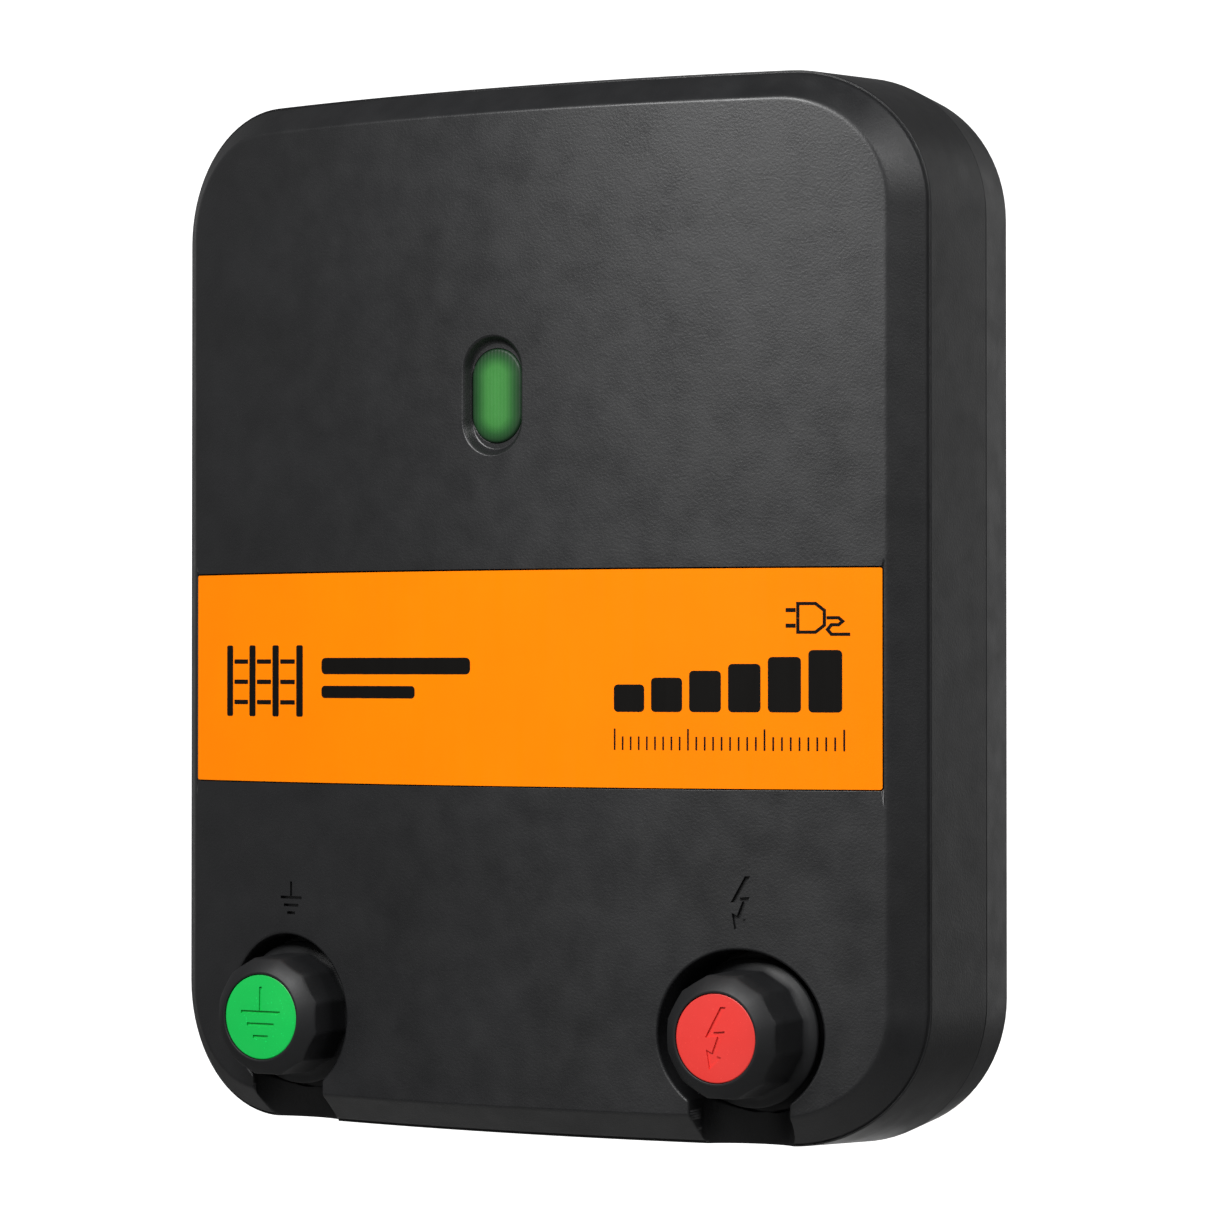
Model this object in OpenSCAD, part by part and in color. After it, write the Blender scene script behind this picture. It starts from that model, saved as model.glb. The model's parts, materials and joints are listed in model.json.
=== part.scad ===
// Mains fence energizer: a wall-hung case with a curved front, an indicator window
// and two screw terminals, with its pulse transformer and storage board inside.
// Frame: the wall plane is Y = 0, the front looks along -Y, +X is right, +Z is up.

/* [Case] */
// Width of the case at the shoulder below the front bevel
case_width = 207; // [204:1:212]
// Height of the case at the shoulder below the front bevel
case_height = 250; // [246:1:256]
// Depth from the wall to the crown of the front
case_depth = 65.3; // [65:0.1:67]
// Corner radius at the shoulder
corner_radius = 32; // [30:1:34]
// Depth of the rear housing, from the wall to the parting line
rear_depth = 15; // [15:0.5:15.5]
// Corner radius at the parting line
rim_radius = 34.5; // [33.5:0.5:36]
// How far the front cover spreads from the shoulder to the parting line
cover_spread = 2; // [1.5:0.1:2.2]
// How far the rear housing narrows from the parting line to the wall
rear_taper = 1.5; // [1:0.1:1.8]
// Radius of the front's curve about a vertical line
face_curve = 300; // [290:5:330]
// Radius of the shoulder's curve about a vertical line
shoulder_curve = 350; // [330:5:360]
// Width of the bevel round the front, seen from the front
bevel_width = 7.1; // [6.5:0.1:7.5]
// Depth of the bevel, front to back
bevel_depth = 8.8; // [8.5:0.1:9]
// Wall thickness of both housings
wall = 3; // [2.8:0.1:3.2]

/* [Terminals] */
// Distance between the two terminal studs
terminal_spacing = 125.2; // [124:0.2:127]
// Height of the terminal studs below the case's middle
terminal_drop = 98.8; // [98:0.1:99.5]
// Radius of the pocket round each knob
pocket_radius = 19.5; // [19:0.1:20]
// Radius of the wire channel below each pocket
channel_radius = 11.8; // [11:0.1:12]
// Radius of each threaded stud
stud_radius = 4; // [4]
// Radius of the cross hole that takes a lead through a stud
lead_hole_radius = 2; // [1.8:0.1:2]
// Radius of each knob's coloured disc
disc_radius = 10.4; // [10:0.1:10.6]
// Radius of each knob's faceted grip, at its corners
grip_radius = 14.6; // [14.2:0.1:14.8]
// Radius of each knob's flared skirt
skirt_radius = 17.5; // [17:0.1:17.8]

/* [Front] */
// Width of the label band
label_width = 190.4; // [186:0.2:191]
// Height of the label band
label_height = 51; // [48:0.5:52]
// Thickness of the label band
label_thickness = 0.4; // [0.3:0.05:0.5]
// Width of the indicator lens
lens_width = 13.8; // [13:0.1:14.2]
// Height of the indicator lens
lens_height = 22.6; // [21:0.1:23]

/* [Wall fixing] */
// Distance between the two keyholes
keyhole_spacing = 120; // [118:1:122]
// Radius of a keyhole's round entry
keyhole_radius = 4.6; // [4.4:0.1:4.8]
// Radius of a keyhole's slot
keyhole_slot_radius = 2.5; // [2.3:0.1:2.6]

/* [Hidden] */
$fn = 48;
hair = 0.01;
half_width = case_width / 2;
half_height = case_height / 2;
crown_y = -case_depth;
shoulder_y = crown_y + bevel_depth;
part_y = -rear_depth;

rim_half_width = half_width + cover_spread;
rim_half_height = half_height + cover_spread;
corner_steps = 8;
edge_steps = 10;
ring_size = 4 * (corner_steps + 1) + 2 * (edge_steps - 1);

terminal_x = terminal_spacing / 2;
pocket_floor_y = -44.5;
pocket_wall = 2.2;
channel_wall = 2.5;
channel_axis_y = pocket_floor_y - channel_radius;
knob_front_y = crown_y - 5;
bevel_back_y = knob_front_y + 2.9;
grip_back_y = knob_front_y + 15.3;
skirt_front_y = knob_front_y + 18.2;
knob_back_y = knob_front_y + 18.7;
contact_thickness = 1.5;
contact_front_y = pocket_floor_y - contact_thickness;
lead_hole_y = contact_front_y - lead_hole_radius - 0.5;
washer_back_y = knob_back_y + 0.7;
washer_front_y = washer_back_y - 1.7;
washer_radius = 9;
bush_radius = 6;
disc_depth = 1.5;
stud_chamfer = 0.8;
stud_front_y = -61.5;
stud_back_y = -30;
bush_front_y = knob_front_y + 2.9;
nut_radius = 7.5;
nut_height = 4.5;
lug_thickness = 1.2;
floor_back_y = pocket_floor_y + wall;
lug_back_y = floor_back_y + nut_height + lug_thickness;
lug_axis_y = lug_back_y - lug_thickness / 2;

label_top = 9;
label_gap = 0.3;
lens_z = 50.6;
lens_front_y = crown_y + 2;
lens_thickness = 2.5;
lens_flange = 1.9;
flange_thickness = 1.2;
recess_margin = 1.7;
recess_extra_height = 1.5;
lens_seat_wall = 4.5;
symbol_depth = 0.4;
symbol_z = -68.8;
face_bolt_size = 11.5;
face_earth_size = 10;
disc_bolt_size = 13;
disc_earth_size = 12;

screw_radius = 2;
screw_places = [[86, 108], [-86, 108], [86, -108], [-86, -108], [97.2, -14], [-97.2, -14]];
screw_head_y = -9;
screw_tip_y = -31;
screw_head_radius = 3.9;
screw_head_height = 2.8;
boss_radius = 5.5;
gasket_outer = 1;
gasket_inner = 2.2;
gasket_thickness = 1.5;
seal_width = 1.5;
seal_depth = 1.2;
fit = 0.05;

board_back_y = -12;
board_front_y = -13.6;
board_screw_places = [[82, 12], [-82, 12], [60, 104], [-60, 104]];
board_post_radius = 3.5;
pilot_end_y = -3.5;

core_z = -62;
core_front_y = -44.5;
core_back_y = -16.5;
core_leg = 11;
core_half_width = 33;
core_half_height = 27.5;
window_half_height = 16.5;
bracket_y = -15;
bracket_x = 42;
bracket_spread = 20;
bracket_post_radius = 4.5;

gland_y = -8.5;
gland_radius = 4.5;
cord_radius = 3.25;
keyhole_z = 80;
keyhole_rise = 12;
keyhole_boss_radius = 7;
keyhole_boss_y = -10;
keyhole_room_radius = 5;
keyhole_room_y = -8.5;

// ---- shapes used again and again ----

// A rod along Y from y0 back to y1
module rod_y(r, y0, y1) {
  translate([0, y0, 0]) rotate([-90, 0, 0]) cylinder(r = r, h = y1 - y0);
}

// A tube along Y from y0 back to y1
module tube_y(r, bore, y0, y1) {
  difference() {
    rod_y(r, y0, y1);
    rod_y(bore, y0 - 1, y1 + 1);
  }
}

// A flat outline in the X-Z plane, made solid from y0 back to y1
module slab(y0, y1) {
  translate([0, y1, 0]) rotate([90, 0, 0]) linear_extrude(y1 - y0) children();
}

// A box between two opposite corners
module box(low, high) {
  translate(low) cube(high - low);
}

// An upright oval with straight sides
module oval(width, height) {
  r = width / 2;
  translate([0, height / 2 - r]) circle(r);
  translate([0, r - height / 2]) circle(r);
  square([width, height - width], center = true);
}

// A rectangle with rounded corners, from its half sizes
module rounded(a, b, r) {
  square([2 * a, 2 * (b - r)], center = true);
  square([2 * (a - r), 2 * b], center = true);
  for (x = [-1, 1], z = [-1, 1]) translate([x * (a - r), z * (b - r)]) circle(r);
}

// A block with rounded corners whose four sides draw in towards its back
module drafted(a, b, r, inset, y0, y1) {
  core_x = a - r;
  core_z = b - r;
  side = [[-core_x - r, y0], [core_x + r, y0], [core_x + r - inset, y1], [-core_x - r + inset, y1]];
  rise = [[-core_z - r, y0], [core_z + r, y0], [core_z + r - inset, y1], [-core_z - r + inset, y1]];
  translate([0, 0, -core_z]) linear_extrude(2 * core_z) polygon(side);
  translate([-core_x, 0, 0]) rotate([0, 90, 0]) linear_extrude(2 * core_x)
    polygon([for (p = rise) [-p[0], p[1]]]);
  for (x = [-1, 1], z = [-1, 1]) translate([x * core_x, y0, z * core_z])
    rotate([-90, 0, 0]) cylinder(r1 = r, r2 = r - inset, h = y1 - y0);
}

// ---- the curved front cover's skin ----

function sag(x, radius) = radius - sqrt(radius * radius - x * x);
function arc(cx, cz, r, start) =
  [for (i = [0 : corner_steps]) [cx + r * cos(start + 90 * i / corner_steps),
                                 cz + r * sin(start + 90 * i / corner_steps)]];
function run(half, z) = [for (i = [1 : edge_steps - 1]) [half * (1 - 2 * i / edge_steps), z]];
function outline(a, b, r) = concat(
  arc(a - r, b - r, r, 0), run(a - r, b), arc(r - a, b - r, r, 90),
  arc(r - a, r - b, r, 180), run(r - a, -b), arc(a - r, r - b, r, 270));
function flat_ring(a, b, r, y) = [for (p = outline(a, b, r)) [p[0], y, p[1]]];
function curved_ring(a, b, r, y, radius) =
  [for (p = outline(a, b, r)) [p[0], y + sag(p[0], radius), p[1]]];

// A solid skinned over three rings, closed flat behind and by upright strips in front
module skin(rings) {
  last = len(rings) - 1;
  sides = [for (k = [0 : last - 1], i = [0 : ring_size - 1])
    let (j = (i + 1) % ring_size, low = k * ring_size, high = low + ring_size)
    each [[low + i, high + i, high + j], [low + i, high + j, low + j]]];
  back = [[for (i = [0 : ring_size - 1]) i]];
  top = last * ring_size;
  front = [for (i = [0 : ring_size / 2 - 2])
    [top + i + 1, top + i, top + ring_size - 1 - i, top + ring_size - 2 - i]];
  polyhedron(points = [for (ring = rings) each ring], faces = concat(back, sides, front));
}

module cover_skin() {
  skin([
    flat_ring(rim_half_width, rim_half_height, rim_radius, part_y),
    curved_ring(half_width, half_height, corner_radius, shoulder_y, shoulder_curve),
    curved_ring(half_width - bevel_width, half_height - bevel_width,
                corner_radius - bevel_width, crown_y, face_curve)
  ]);
}

module cover_cavity() {
  skin([
    flat_ring(rim_half_width - wall, rim_half_height - wall, rim_radius - wall, part_y + 1),
    curved_ring(half_width - wall, half_height - wall, corner_radius - wall,
                shoulder_y + 2, shoulder_curve),
    curved_ring(half_width - wall - 6, half_height - wall - 6, corner_radius - wall - 6,
                crown_y + wall, face_curve)
  ]);
}

// A curved sheet that follows the front, between two depths below its surface
module face_sheet(outer, inner, width, top, height) {
  intersection() {
    translate([0, crown_y + face_curve, top - height]) difference() {
      cylinder(r = face_curve - outer, h = height, $fn = 360);
      translate([0, 0, -1]) cylinder(r = face_curve - inner, h = height + 2, $fn = 360);
    }
    box([-width / 2, crown_y - 5, top - height - 1], [width / 2, 0, top + 1]);
  }
}

// ---- the two symbols ----

module bolt_symbol(size) {
  polygon(size * [[0.14, 0.5], [-0.26, -0.04], [-0.03, -0.04], [-0.14, -0.5], [0.28, 0.1], [0.04, 0.1]]);
}

module earth_symbol(size) {
  bar = size * 0.09;
  translate([0, size * 0.28]) square([bar, size * 0.44], center = true);
  for (i = [0 : 2]) translate([0, size * (0.06 - 0.2 * i)])
    square([size * (0.8 - 0.26 * i), bar], center = true);
}

// A symbol sunk into the curved front above a terminal
module face_symbol(side) {
  turn = asin(terminal_x / face_curve) * side;
  translate([side * terminal_x, crown_y + sag(terminal_x, face_curve), symbol_z])
    rotate([0, 0, turn]) slab(-2, symbol_depth) children();
}

// ---- case ----

module front_cover() color([0.07, 0.07, 0.075]) difference() {
  cover_skin();
  difference() {
    cover_cavity();
    for (side = [-1, 1]) translate([side * terminal_x, 0, -terminal_drop]) {
      rod_y(pocket_radius + pocket_wall, crown_y - 5, floor_back_y);
      translate([0, channel_axis_y, -40]) cylinder(r = channel_radius + channel_wall, h = 40);
    }
    for (p = screw_places) translate([p[0], 0, p[1]]) rod_y(boss_radius, crown_y, part_y + 2);
    slab(crown_y - 1, lens_front_y + lens_thickness + 1.8) translate([0, lens_z])
      oval(lens_width + 2 * lens_seat_wall, lens_height + 2 * lens_seat_wall);
  }
  for (p = screw_places) translate([p[0], 0, p[1]]) rod_y(screw_radius + fit, screw_tip_y - 2, part_y + 2);
  for (side = [-1, 1]) translate([side * terminal_x, 0, -terminal_drop]) {
    rod_y(pocket_radius, crown_y - 5, pocket_floor_y);
    rod_y(stud_radius + 0.1, pocket_floor_y - 1, floor_back_y + 1);
    rod_y(stud_radius + seal_width + 0.1, floor_back_y - seal_depth, floor_back_y + 1);
    translate([0, channel_axis_y, -40]) cylinder(r = channel_radius, h = 40);
    box([-channel_radius, crown_y - 5, -40], [channel_radius, channel_axis_y, 0]);
  }
  face_sheet(-1, label_thickness, label_width + 2 * label_gap, label_top + label_gap,
             label_height + 2 * label_gap);
  slab(crown_y - 1, lens_front_y + 0.5) translate([0, lens_z])
    oval(lens_width + 2 * recess_margin, lens_height + 2 * recess_margin + recess_extra_height);
  slab(crown_y - 1, lens_front_y + lens_thickness) translate([0, lens_z])
    oval(lens_width + 4 * fit, lens_height + 4 * fit);
  slab(lens_front_y + lens_thickness - 0.1, 0) translate([0, lens_z])
    oval(lens_width + 2 * lens_flange + 8 * fit, lens_height + 2 * lens_flange + 8 * fit);
  face_symbol(1) bolt_symbol(face_bolt_size);
  face_symbol(-1) earth_symbol(face_earth_size);
}

module keyhole(entry, slot, y0, y1) {
  for (x = [-1, 1]) translate([x * keyhole_spacing / 2, 0, keyhole_z]) {
    rod_y(entry, y0, y1);
    translate([0, 0, keyhole_rise]) rod_y(slot, y0, y1);
    box([-slot, y0, 0], [slot, y1, keyhole_rise]);
  }
}

module rear_housing() color([0.075, 0.075, 0.08]) difference() {
  union() {
    difference() {
      drafted(rim_half_width, rim_half_height, rim_radius, rear_taper, part_y, 0);
      drafted(rim_half_width - wall, rim_half_height - wall, rim_radius - wall,
              rear_taper, part_y - hair, -wall);
    }
    for (p = screw_places) translate([p[0], 0, p[1]]) rod_y(boss_radius, part_y, -1);
    for (p = board_screw_places) translate([p[0], 0, p[1]]) rod_y(board_post_radius, board_back_y, -1);
    at_bracket_screws() rod_y(bracket_post_radius, bracket_y, -1);
    keyhole(keyhole_boss_radius, keyhole_boss_radius, keyhole_boss_y, -1);
  }
  for (p = screw_places) translate([p[0], 0, p[1]]) {
    rod_y(screw_radius + 5 * fit, part_y - 1, 1);
    rod_y(screw_head_radius + 6 * fit, screw_head_y, 1);
  }
  for (p = board_screw_places) translate([p[0], 0, p[1]])
    rod_y(board_screw_radius + fit, board_back_y - 1, pilot_end_y);
  at_bracket_screws() rod_y(bracket_screw_radius + fit, bracket_y - 1, pilot_end_y);
  keyhole(keyhole_radius, keyhole_slot_radius, -wall - 1, 1);
  keyhole(keyhole_room_radius, keyhole_room_radius, keyhole_room_y, -wall);
  translate([0, gland_y, -half_height - 10]) cylinder(r = gland_radius, h = 20);
  slab(part_y - hair, part_y + gasket_thickness) gasket_outline();
}

module gasket_outline() difference() {
  rounded(rim_half_width - gasket_outer, rim_half_height - gasket_outer, rim_radius - gasket_outer);
  rounded(rim_half_width - gasket_inner, rim_half_height - gasket_inner, rim_radius - gasket_inner);
}

module cover_gasket() color([0.16, 0.16, 0.17]) slab(part_y, part_y + gasket_thickness) gasket_outline();

module label() color([0.98, 0.5, 0.03])
  face_sheet(0, label_thickness, label_width, label_top, label_height);

module cover_screws() color([0.6, 0.6, 0.62]) {
  slot_half = [2.2, 0, 0.45];
  slot_y = screw_head_y + screw_head_height / 2;
  for (p = screw_places) translate([p[0], 0, p[1]]) difference() {
    union() {
      rod_y(screw_radius, screw_tip_y, screw_head_y);
      rod_y(screw_head_radius, screw_head_y, screw_head_y + screw_head_height);
    }
    for (turn = [0, 90]) rotate([0, turn, 0]) box([0, slot_y, 0] - slot_half, slot_half);
  }
}

module cord_gland() color([0.1, 0.1, 0.1]) translate([0, gland_y, -half_height]) {
  flange = 1.6;
  inner_z = 2.6;
  difference() {
    union() {
      translate([0, 0, -cover_spread - flange]) cylinder(r = gland_radius + 1.3, h = flange);
      translate([0, 0, -cover_spread - 0.5]) cylinder(r = gland_radius, h = 7);
      translate([0, 0, inner_z]) cylinder(r = gland_radius + 0.7, h = wall);
    }
    translate([0, 0, -10]) cylinder(r = cord_radius, h = 30);
  }
}

// ---- indicator ----

module indicator_lens() color([0.15, 0.75, 0.3, 0.85]) translate([0, 0, lens_z]) {
  flange_y = lens_front_y + lens_thickness;
  slab(lens_front_y, flange_y) oval(lens_width, lens_height);
  slab(flange_y, flange_y + flange_thickness)
    oval(lens_width + 2 * lens_flange, lens_height + 2 * lens_flange);
}

led_places = [lens_z - 5, lens_z + 5];
led_radius = 2.5;
led_base_y = -50;

module led_spacers() color([0.9, 0.9, 0.88])
  for (z = led_places) translate([0, 0, z]) tube_y(led_radius + 0.5, 0.9, led_base_y, board_front_y);

module indicator_leds() color([0.3, 0.9, 0.4])
  for (z = led_places) translate([0, 0, z]) {
    rod_y(led_radius + 0.4, led_base_y - 1, led_base_y);
    rod_y(led_radius, led_base_y - 5, led_base_y - 1);
    translate([0, led_base_y - 5, 0]) sphere(led_radius);
  }

// ---- control board ----

board_half_width = 88;
board_bottom = 4;
board_top = 110;
board_corner = 22;
board_screw_radius = 1.25;

module control_board() color([0.05, 0.3, 0.14]) slab(board_front_y, board_back_y) difference() {
  union() {
    translate([0, (board_bottom + board_top) / 2])
      rounded(board_half_width, (board_top - board_bottom) / 2, board_corner);
    translate([0, board_bottom + board_corner + 1]) rounded(board_half_width, board_corner + 1, 2);
  }
  for (p = board_screw_places) translate(p) circle(1.7);
}

module board_screws() color([0.7, 0.7, 0.72])
  for (p = board_screw_places) translate([p[0], 0, p[1]]) {
    rod_y(board_screw_radius, board_front_y, -5);
    rod_y(2.8, board_front_y - 1.8, board_front_y);
  }

capacitor_places = [92, 59, 26];
capacitor_x = -47;
capacitor_y = -30;
capacitor_radius = 15;
capacitor_length = 62;
capacitor_leg_x = capacitor_length / 2 + 3;
capacitor_leg_radius = 0.6;
cradle_half_width = 4;

module storage_capacitors() color([0.85, 0.7, 0.2])
  for (z = capacitor_places) translate([capacitor_x, capacitor_y, z]) {
    rotate([0, 90, 0]) cylinder(r = capacitor_radius, h = capacitor_length, center = true);
    for (end = [-1, 1]) translate([end * capacitor_leg_x, 0, 0]) {
      translate([-end * 1.5, 0, 0]) rotate([0, 90, 0])
        cylinder(r = capacitor_leg_radius, h = 4, center = true);
      rod_y(capacitor_leg_radius, -capacitor_leg_radius, board_front_y - capacitor_y);
    }
  }

module capacitor_cradle() color([0.85, 0.85, 0.82]) difference() {
  box([capacitor_x - cradle_half_width, -20, 9], [capacitor_x + cradle_half_width, board_front_y, 108.5]);
  for (z = capacitor_places) translate([capacitor_x, capacitor_y, z]) rotate([0, 90, 0])
    cylinder(r = capacitor_radius + fit, h = 20, center = true);
}

module capacitor_ties() color([0.12, 0.12, 0.12])
  for (z = capacitor_places) difference() {
    translate([capacitor_x, capacitor_y, z]) rotate([0, 90, 0]) difference() {
      cylinder(r = capacitor_radius + 1.2, h = 5, center = true);
      cylinder(r = capacitor_radius + fit, h = 6, center = true);
    }
    translate([capacitor_x, 0, z])
      box([-cradle_half_width - 1, -20, -20], [cradle_half_width + 1, -10, 20]);
  }

heatsink_left = 10;
heatsink_front_y = -42;
heatsink_bottom = 17;
heatsink_plate = 3;
fin_count = 7;
fin_pitch = 5;
fin_thickness = 2;
fin_height = 13;

module heatsink() color([0.75, 0.76, 0.78]) {
  fin_bottom = heatsink_bottom + heatsink_plate;
  box([heatsink_left, heatsink_front_y, heatsink_bottom],
      [heatsink_left + fin_pitch * (fin_count - 1) + fin_thickness, board_front_y, fin_bottom]);
  for (i = [0 : fin_count - 1]) translate([heatsink_left + fin_pitch * i, 0, 0])
    box([0, heatsink_front_y, fin_bottom], [fin_thickness, board_front_y, fin_bottom + fin_height]);
}

module thyristors() color([0.1, 0.1, 0.11]) {
  body_half_width = 5;
  body_thickness = 4.4;
  leg_pitch = 2.5;
  leg_half_width = 0.4;
  for (x = [18, 34]) translate([x, 0, heatsink_bottom - body_thickness]) {
    box([-body_half_width, -38, 0], [body_half_width, -23, body_thickness]);
    for (i = [-1 : 1]) translate([i * leg_pitch, 0, 0])
      box([-leg_half_width, -23, 1.6], [leg_half_width, board_front_y, 2.4]);
  }
}

module power_resistors() color([0.8, 0.78, 0.7]) {
  half = [11, 3.25, 3.2];
  leg_x = 8;
  for (z = [70, 79]) translate([27, -20.75, z]) {
    box(-half, half);
    for (side = [-1, 1]) translate([side * leg_x, 0, 0]) rod_y(0.5, half[1], board_front_y + 20.75);
  }
}

module bridge_rectifier() color([0.12, 0.12, 0.13]) {
  back_y = -18;
  pin_pitch = 3.4;
  translate([40, back_y, 47]) {
    box([0, -14, 0], [15, 0, 4.5]);
    for (i = [0 : 3]) translate([2.5 + pin_pitch * i, 0, 2.2]) rod_y(0.5, 0, board_front_y - back_y);
  }
}

fuse_place = [64, -20, 22];
fuse_radius = 2.5;
fuse_cap_x = 8;
fuse_cap_radius = fuse_radius + 0.15;

module fuse() color([0.85, 0.88, 0.9, 0.6]) translate(fuse_place) rotate([0, 90, 0]) {
  cylinder(r = fuse_radius, h = 2 * fuse_cap_x - 4, center = true);
  for (end = [-1, 1]) translate([0, 0, end * fuse_cap_x])
    cylinder(r = fuse_cap_radius, h = 4, center = true);
}

module fuse_clips() color([0.8, 0.75, 0.5]) translate(fuse_place) difference() {
  for (end = [-1, 1]) translate([end * fuse_cap_x, 0, 0])
    box([-1.5, -3, -4], [1.5, board_front_y - fuse_place[1], 4]);
  rotate([0, 90, 0]) cylinder(r = fuse_cap_radius + fit, h = 40, center = true);
  box([-14, -4, -1.6], [16, 0, 1.6]);
}

module varistor() color([0.15, 0.3, 0.65]) {
  place = [50, -24, 34];
  thickness = 4;
  translate(place) cylinder(r = 6, h = thickness);
  translate(place) translate([0, 0, thickness / 2]) for (x = [-3, 3])
    translate([x, 0, 0]) rod_y(0.4, 0, board_front_y - place[1]);
}

choke_place = [72, -25.1, 54];
choke_radius = 9;
choke_section = [5, 8];
turn_thickness = 1.2;

module choke_core() color([0.2, 0.2, 0.22]) translate(choke_place)
  rotate_extrude() translate([choke_radius, 0]) square(choke_section, center = true);

module choke_windings() color([0.75, 0.4, 0.18]) translate(choke_place)
  for (side = [0, 180], i = [-3 : 3]) rotate([0, 0, side + i * 15])
    translate([choke_radius, 0, 0]) rotate([90, 0, 0]) linear_extrude(1.6, center = true) difference() {
      square(choke_section + 2 * [turn_thickness, turn_thickness], center = true);
      square(choke_section + 2 * [fit, fit], center = true);
    }

module filter_capacitor() color([0.7, 0.55, 0.1]) {
  half = [9, 7.25, 4.5];
  centre = [71, -22.75, 34.5];
  translate(centre) {
    box(-half, half);
    for (side = [-1, 1]) translate([side * 7, 0, 0]) rod_y(0.4, half[1], board_front_y - centre[1]);
  }
}

module reservoir_capacitor() color([0.1, 0.12, 0.2]) translate([68, 0, 84]) {
  front_y = -42;
  vent_half = [6, 0.4, 0.4];
  difference() {
    rod_y(9, front_y, board_front_y);
    for (turn = [0, 90]) rotate([0, turn, 0]) translate([0, front_y, 0])
      box(-vent_half - [0, 0.6, 0], vent_half);
  }
}

flyback_centre = [34, -25, 96];
flyback_half = [12, 7, 10];
flyback_leg = 4;
flyback_middle = 3;

module flyback_core() color([0.18, 0.18, 0.2]) translate(flyback_centre) difference() {
  box(-flyback_half, flyback_half);
  for (side = [0, 180]) rotate([0, side, 0])
    box([flyback_middle, -flyback_half[1] - 1, flyback_leg - flyback_half[2]],
        [flyback_half[0] - flyback_leg, flyback_half[1] + 1, flyback_half[2] - flyback_leg]);
}

module flyback_winding() color([0.85, 0.75, 0.2]) translate(flyback_centre) {
  outer_x = flyback_half[0] - flyback_leg - 0.2;
  outer_z = flyback_half[2] - flyback_leg - 0.2;
  bore = [flyback_middle + 0.2, flyback_half[1] + 0.2, 20];
  difference() {
    box([-outer_x, -11, -outer_z], [outer_x, board_front_y - flyback_centre[1], outer_z]);
    box(-bore, bore);
  }
}

module controller_chip() color([0.08, 0.08, 0.09]) translate([13, 0, 95]) {
  half_size = [5, 7];
  pin_pitch = 1.9;
  box([-half_size[0], -17, -half_size[1]], [half_size[0], -14.1, half_size[1]]);
  for (side = [-1, 1], i = [-3 : 3]) translate([side * (half_size[0] + 0.8), 0, i * pin_pitch])
    box([-0.9, -15.2, -0.3], [0.9, board_front_y, 0.3]);
}

// Two blocks of screw terminals on the board: mains in, and the transformer's primary out
mains_input = [66, 8];
primary_output = [0, 12];
screw_offset = 4.5;

module board_terminals() color([0.1, 0.45, 0.2])
  for (place = [mains_input, primary_output]) translate([place[0], 0, place[1]]) difference() {
    box([-2 * screw_offset, -26, -3.5], [2 * screw_offset, board_front_y, 6]);
    for (side = [-1, 1]) translate([side * screw_offset, 0, 0]) {
      translate([0, 0, 1.5]) rod_y(2.2, -27, -22);
      translate([0, -18.5, -4]) cylinder(r = 1.7, h = 5);
    }
  }

// ---- pulse transformer ----

bolt_radius = 2;
bolt_hole_radius = bolt_radius + 0.1;
bracket_screw_radius = 1.55;
flange_width = 9.4;
winding_depth = 8.2;
bobbin_wall = 1.3;
bobbin_flange = 2;
bobbin_end = window_half_height - 0.2;
split_z = 1;

module at_bracket_screws() {
  for (x = [-1, 1], z = [-1, 1]) translate([x * bracket_x, 0, core_z + z * bracket_spread]) children();
}

module e_core() color([0.45, 0.46, 0.5]) slab(core_front_y, core_back_y) translate([0, core_z])
  difference() {
    translate([-core_half_width, -core_half_height])
      square([2 * core_half_width, 2 * core_half_height - core_leg]);
    for (side = [-1, 1]) translate([side * (core_half_width - 1.5 * core_leg), core_leg / 2 - hair])
      square([core_leg, 2 * window_half_height + core_leg], center = true);
    for (side = [-1, 1]) translate([side * (core_half_width - core_leg / 2), -core_half_height + 5])
      circle(bolt_hole_radius);
  }

module i_core() color([0.45, 0.46, 0.5]) slab(core_front_y, core_back_y)
  translate([0, core_z + core_half_height - core_leg / 2]) difference() {
    square([2 * core_half_width, core_leg], center = true);
    for (side = [-1, 1]) translate([side * (core_half_width - core_leg / 2), 0]) circle(bolt_hole_radius);
  }

// A rectangular sleeve round the transformer's middle leg
module sleeve(inner, outer, low, high) {
  middle_y = (core_front_y + core_back_y) / 2;
  half_y = (core_back_y - core_front_y) / 2;
  translate([0, middle_y, core_z + low]) linear_extrude(high - low) difference() {
    square([2 * (core_leg + outer), 2 * (half_y + outer)], center = true);
    square([2 * (core_leg + inner), 2 * (half_y + inner)], center = true);
  }
}

module bobbin() color([0.9, 0.88, 0.8]) {
  sleeve(2 * fit, bobbin_wall, -bobbin_end, bobbin_end);
  for (z = [-bobbin_end, -bobbin_flange / 2, bobbin_end - bobbin_flange])
    sleeve(bobbin_wall, flange_width, z, z + bobbin_flange);
}

module primary_winding() color([0.72, 0.35, 0.15])
  sleeve(bobbin_wall + fit, winding_depth, bobbin_flange + 2 * fit - bobbin_end, -split_z - 2 * fit);

module secondary_winding() color([0.75, 0.25, 0.1])
  sleeve(bobbin_wall + fit, winding_depth, split_z + 2 * fit, bobbin_end - bobbin_flange - 2 * fit);

bolt_places = [for (x = [-1, 1]) each [[x * 27.5, core_z - 22.5], [x * 27.5, core_z + 22]]];

module transformer_brackets() color([0.7, 0.71, 0.73]) for (side = [-1, 1])
  slab(core_back_y, bracket_y) difference() {
    translate([side * (bracket_x - 6), core_z]) square([24, 2 * core_half_height], center = true);
    for (p = bolt_places) translate(p) circle(bolt_hole_radius);
    for (z = [-1, 1]) translate([side * bracket_x, core_z + z * bracket_spread]) circle(1.7);
  }

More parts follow.
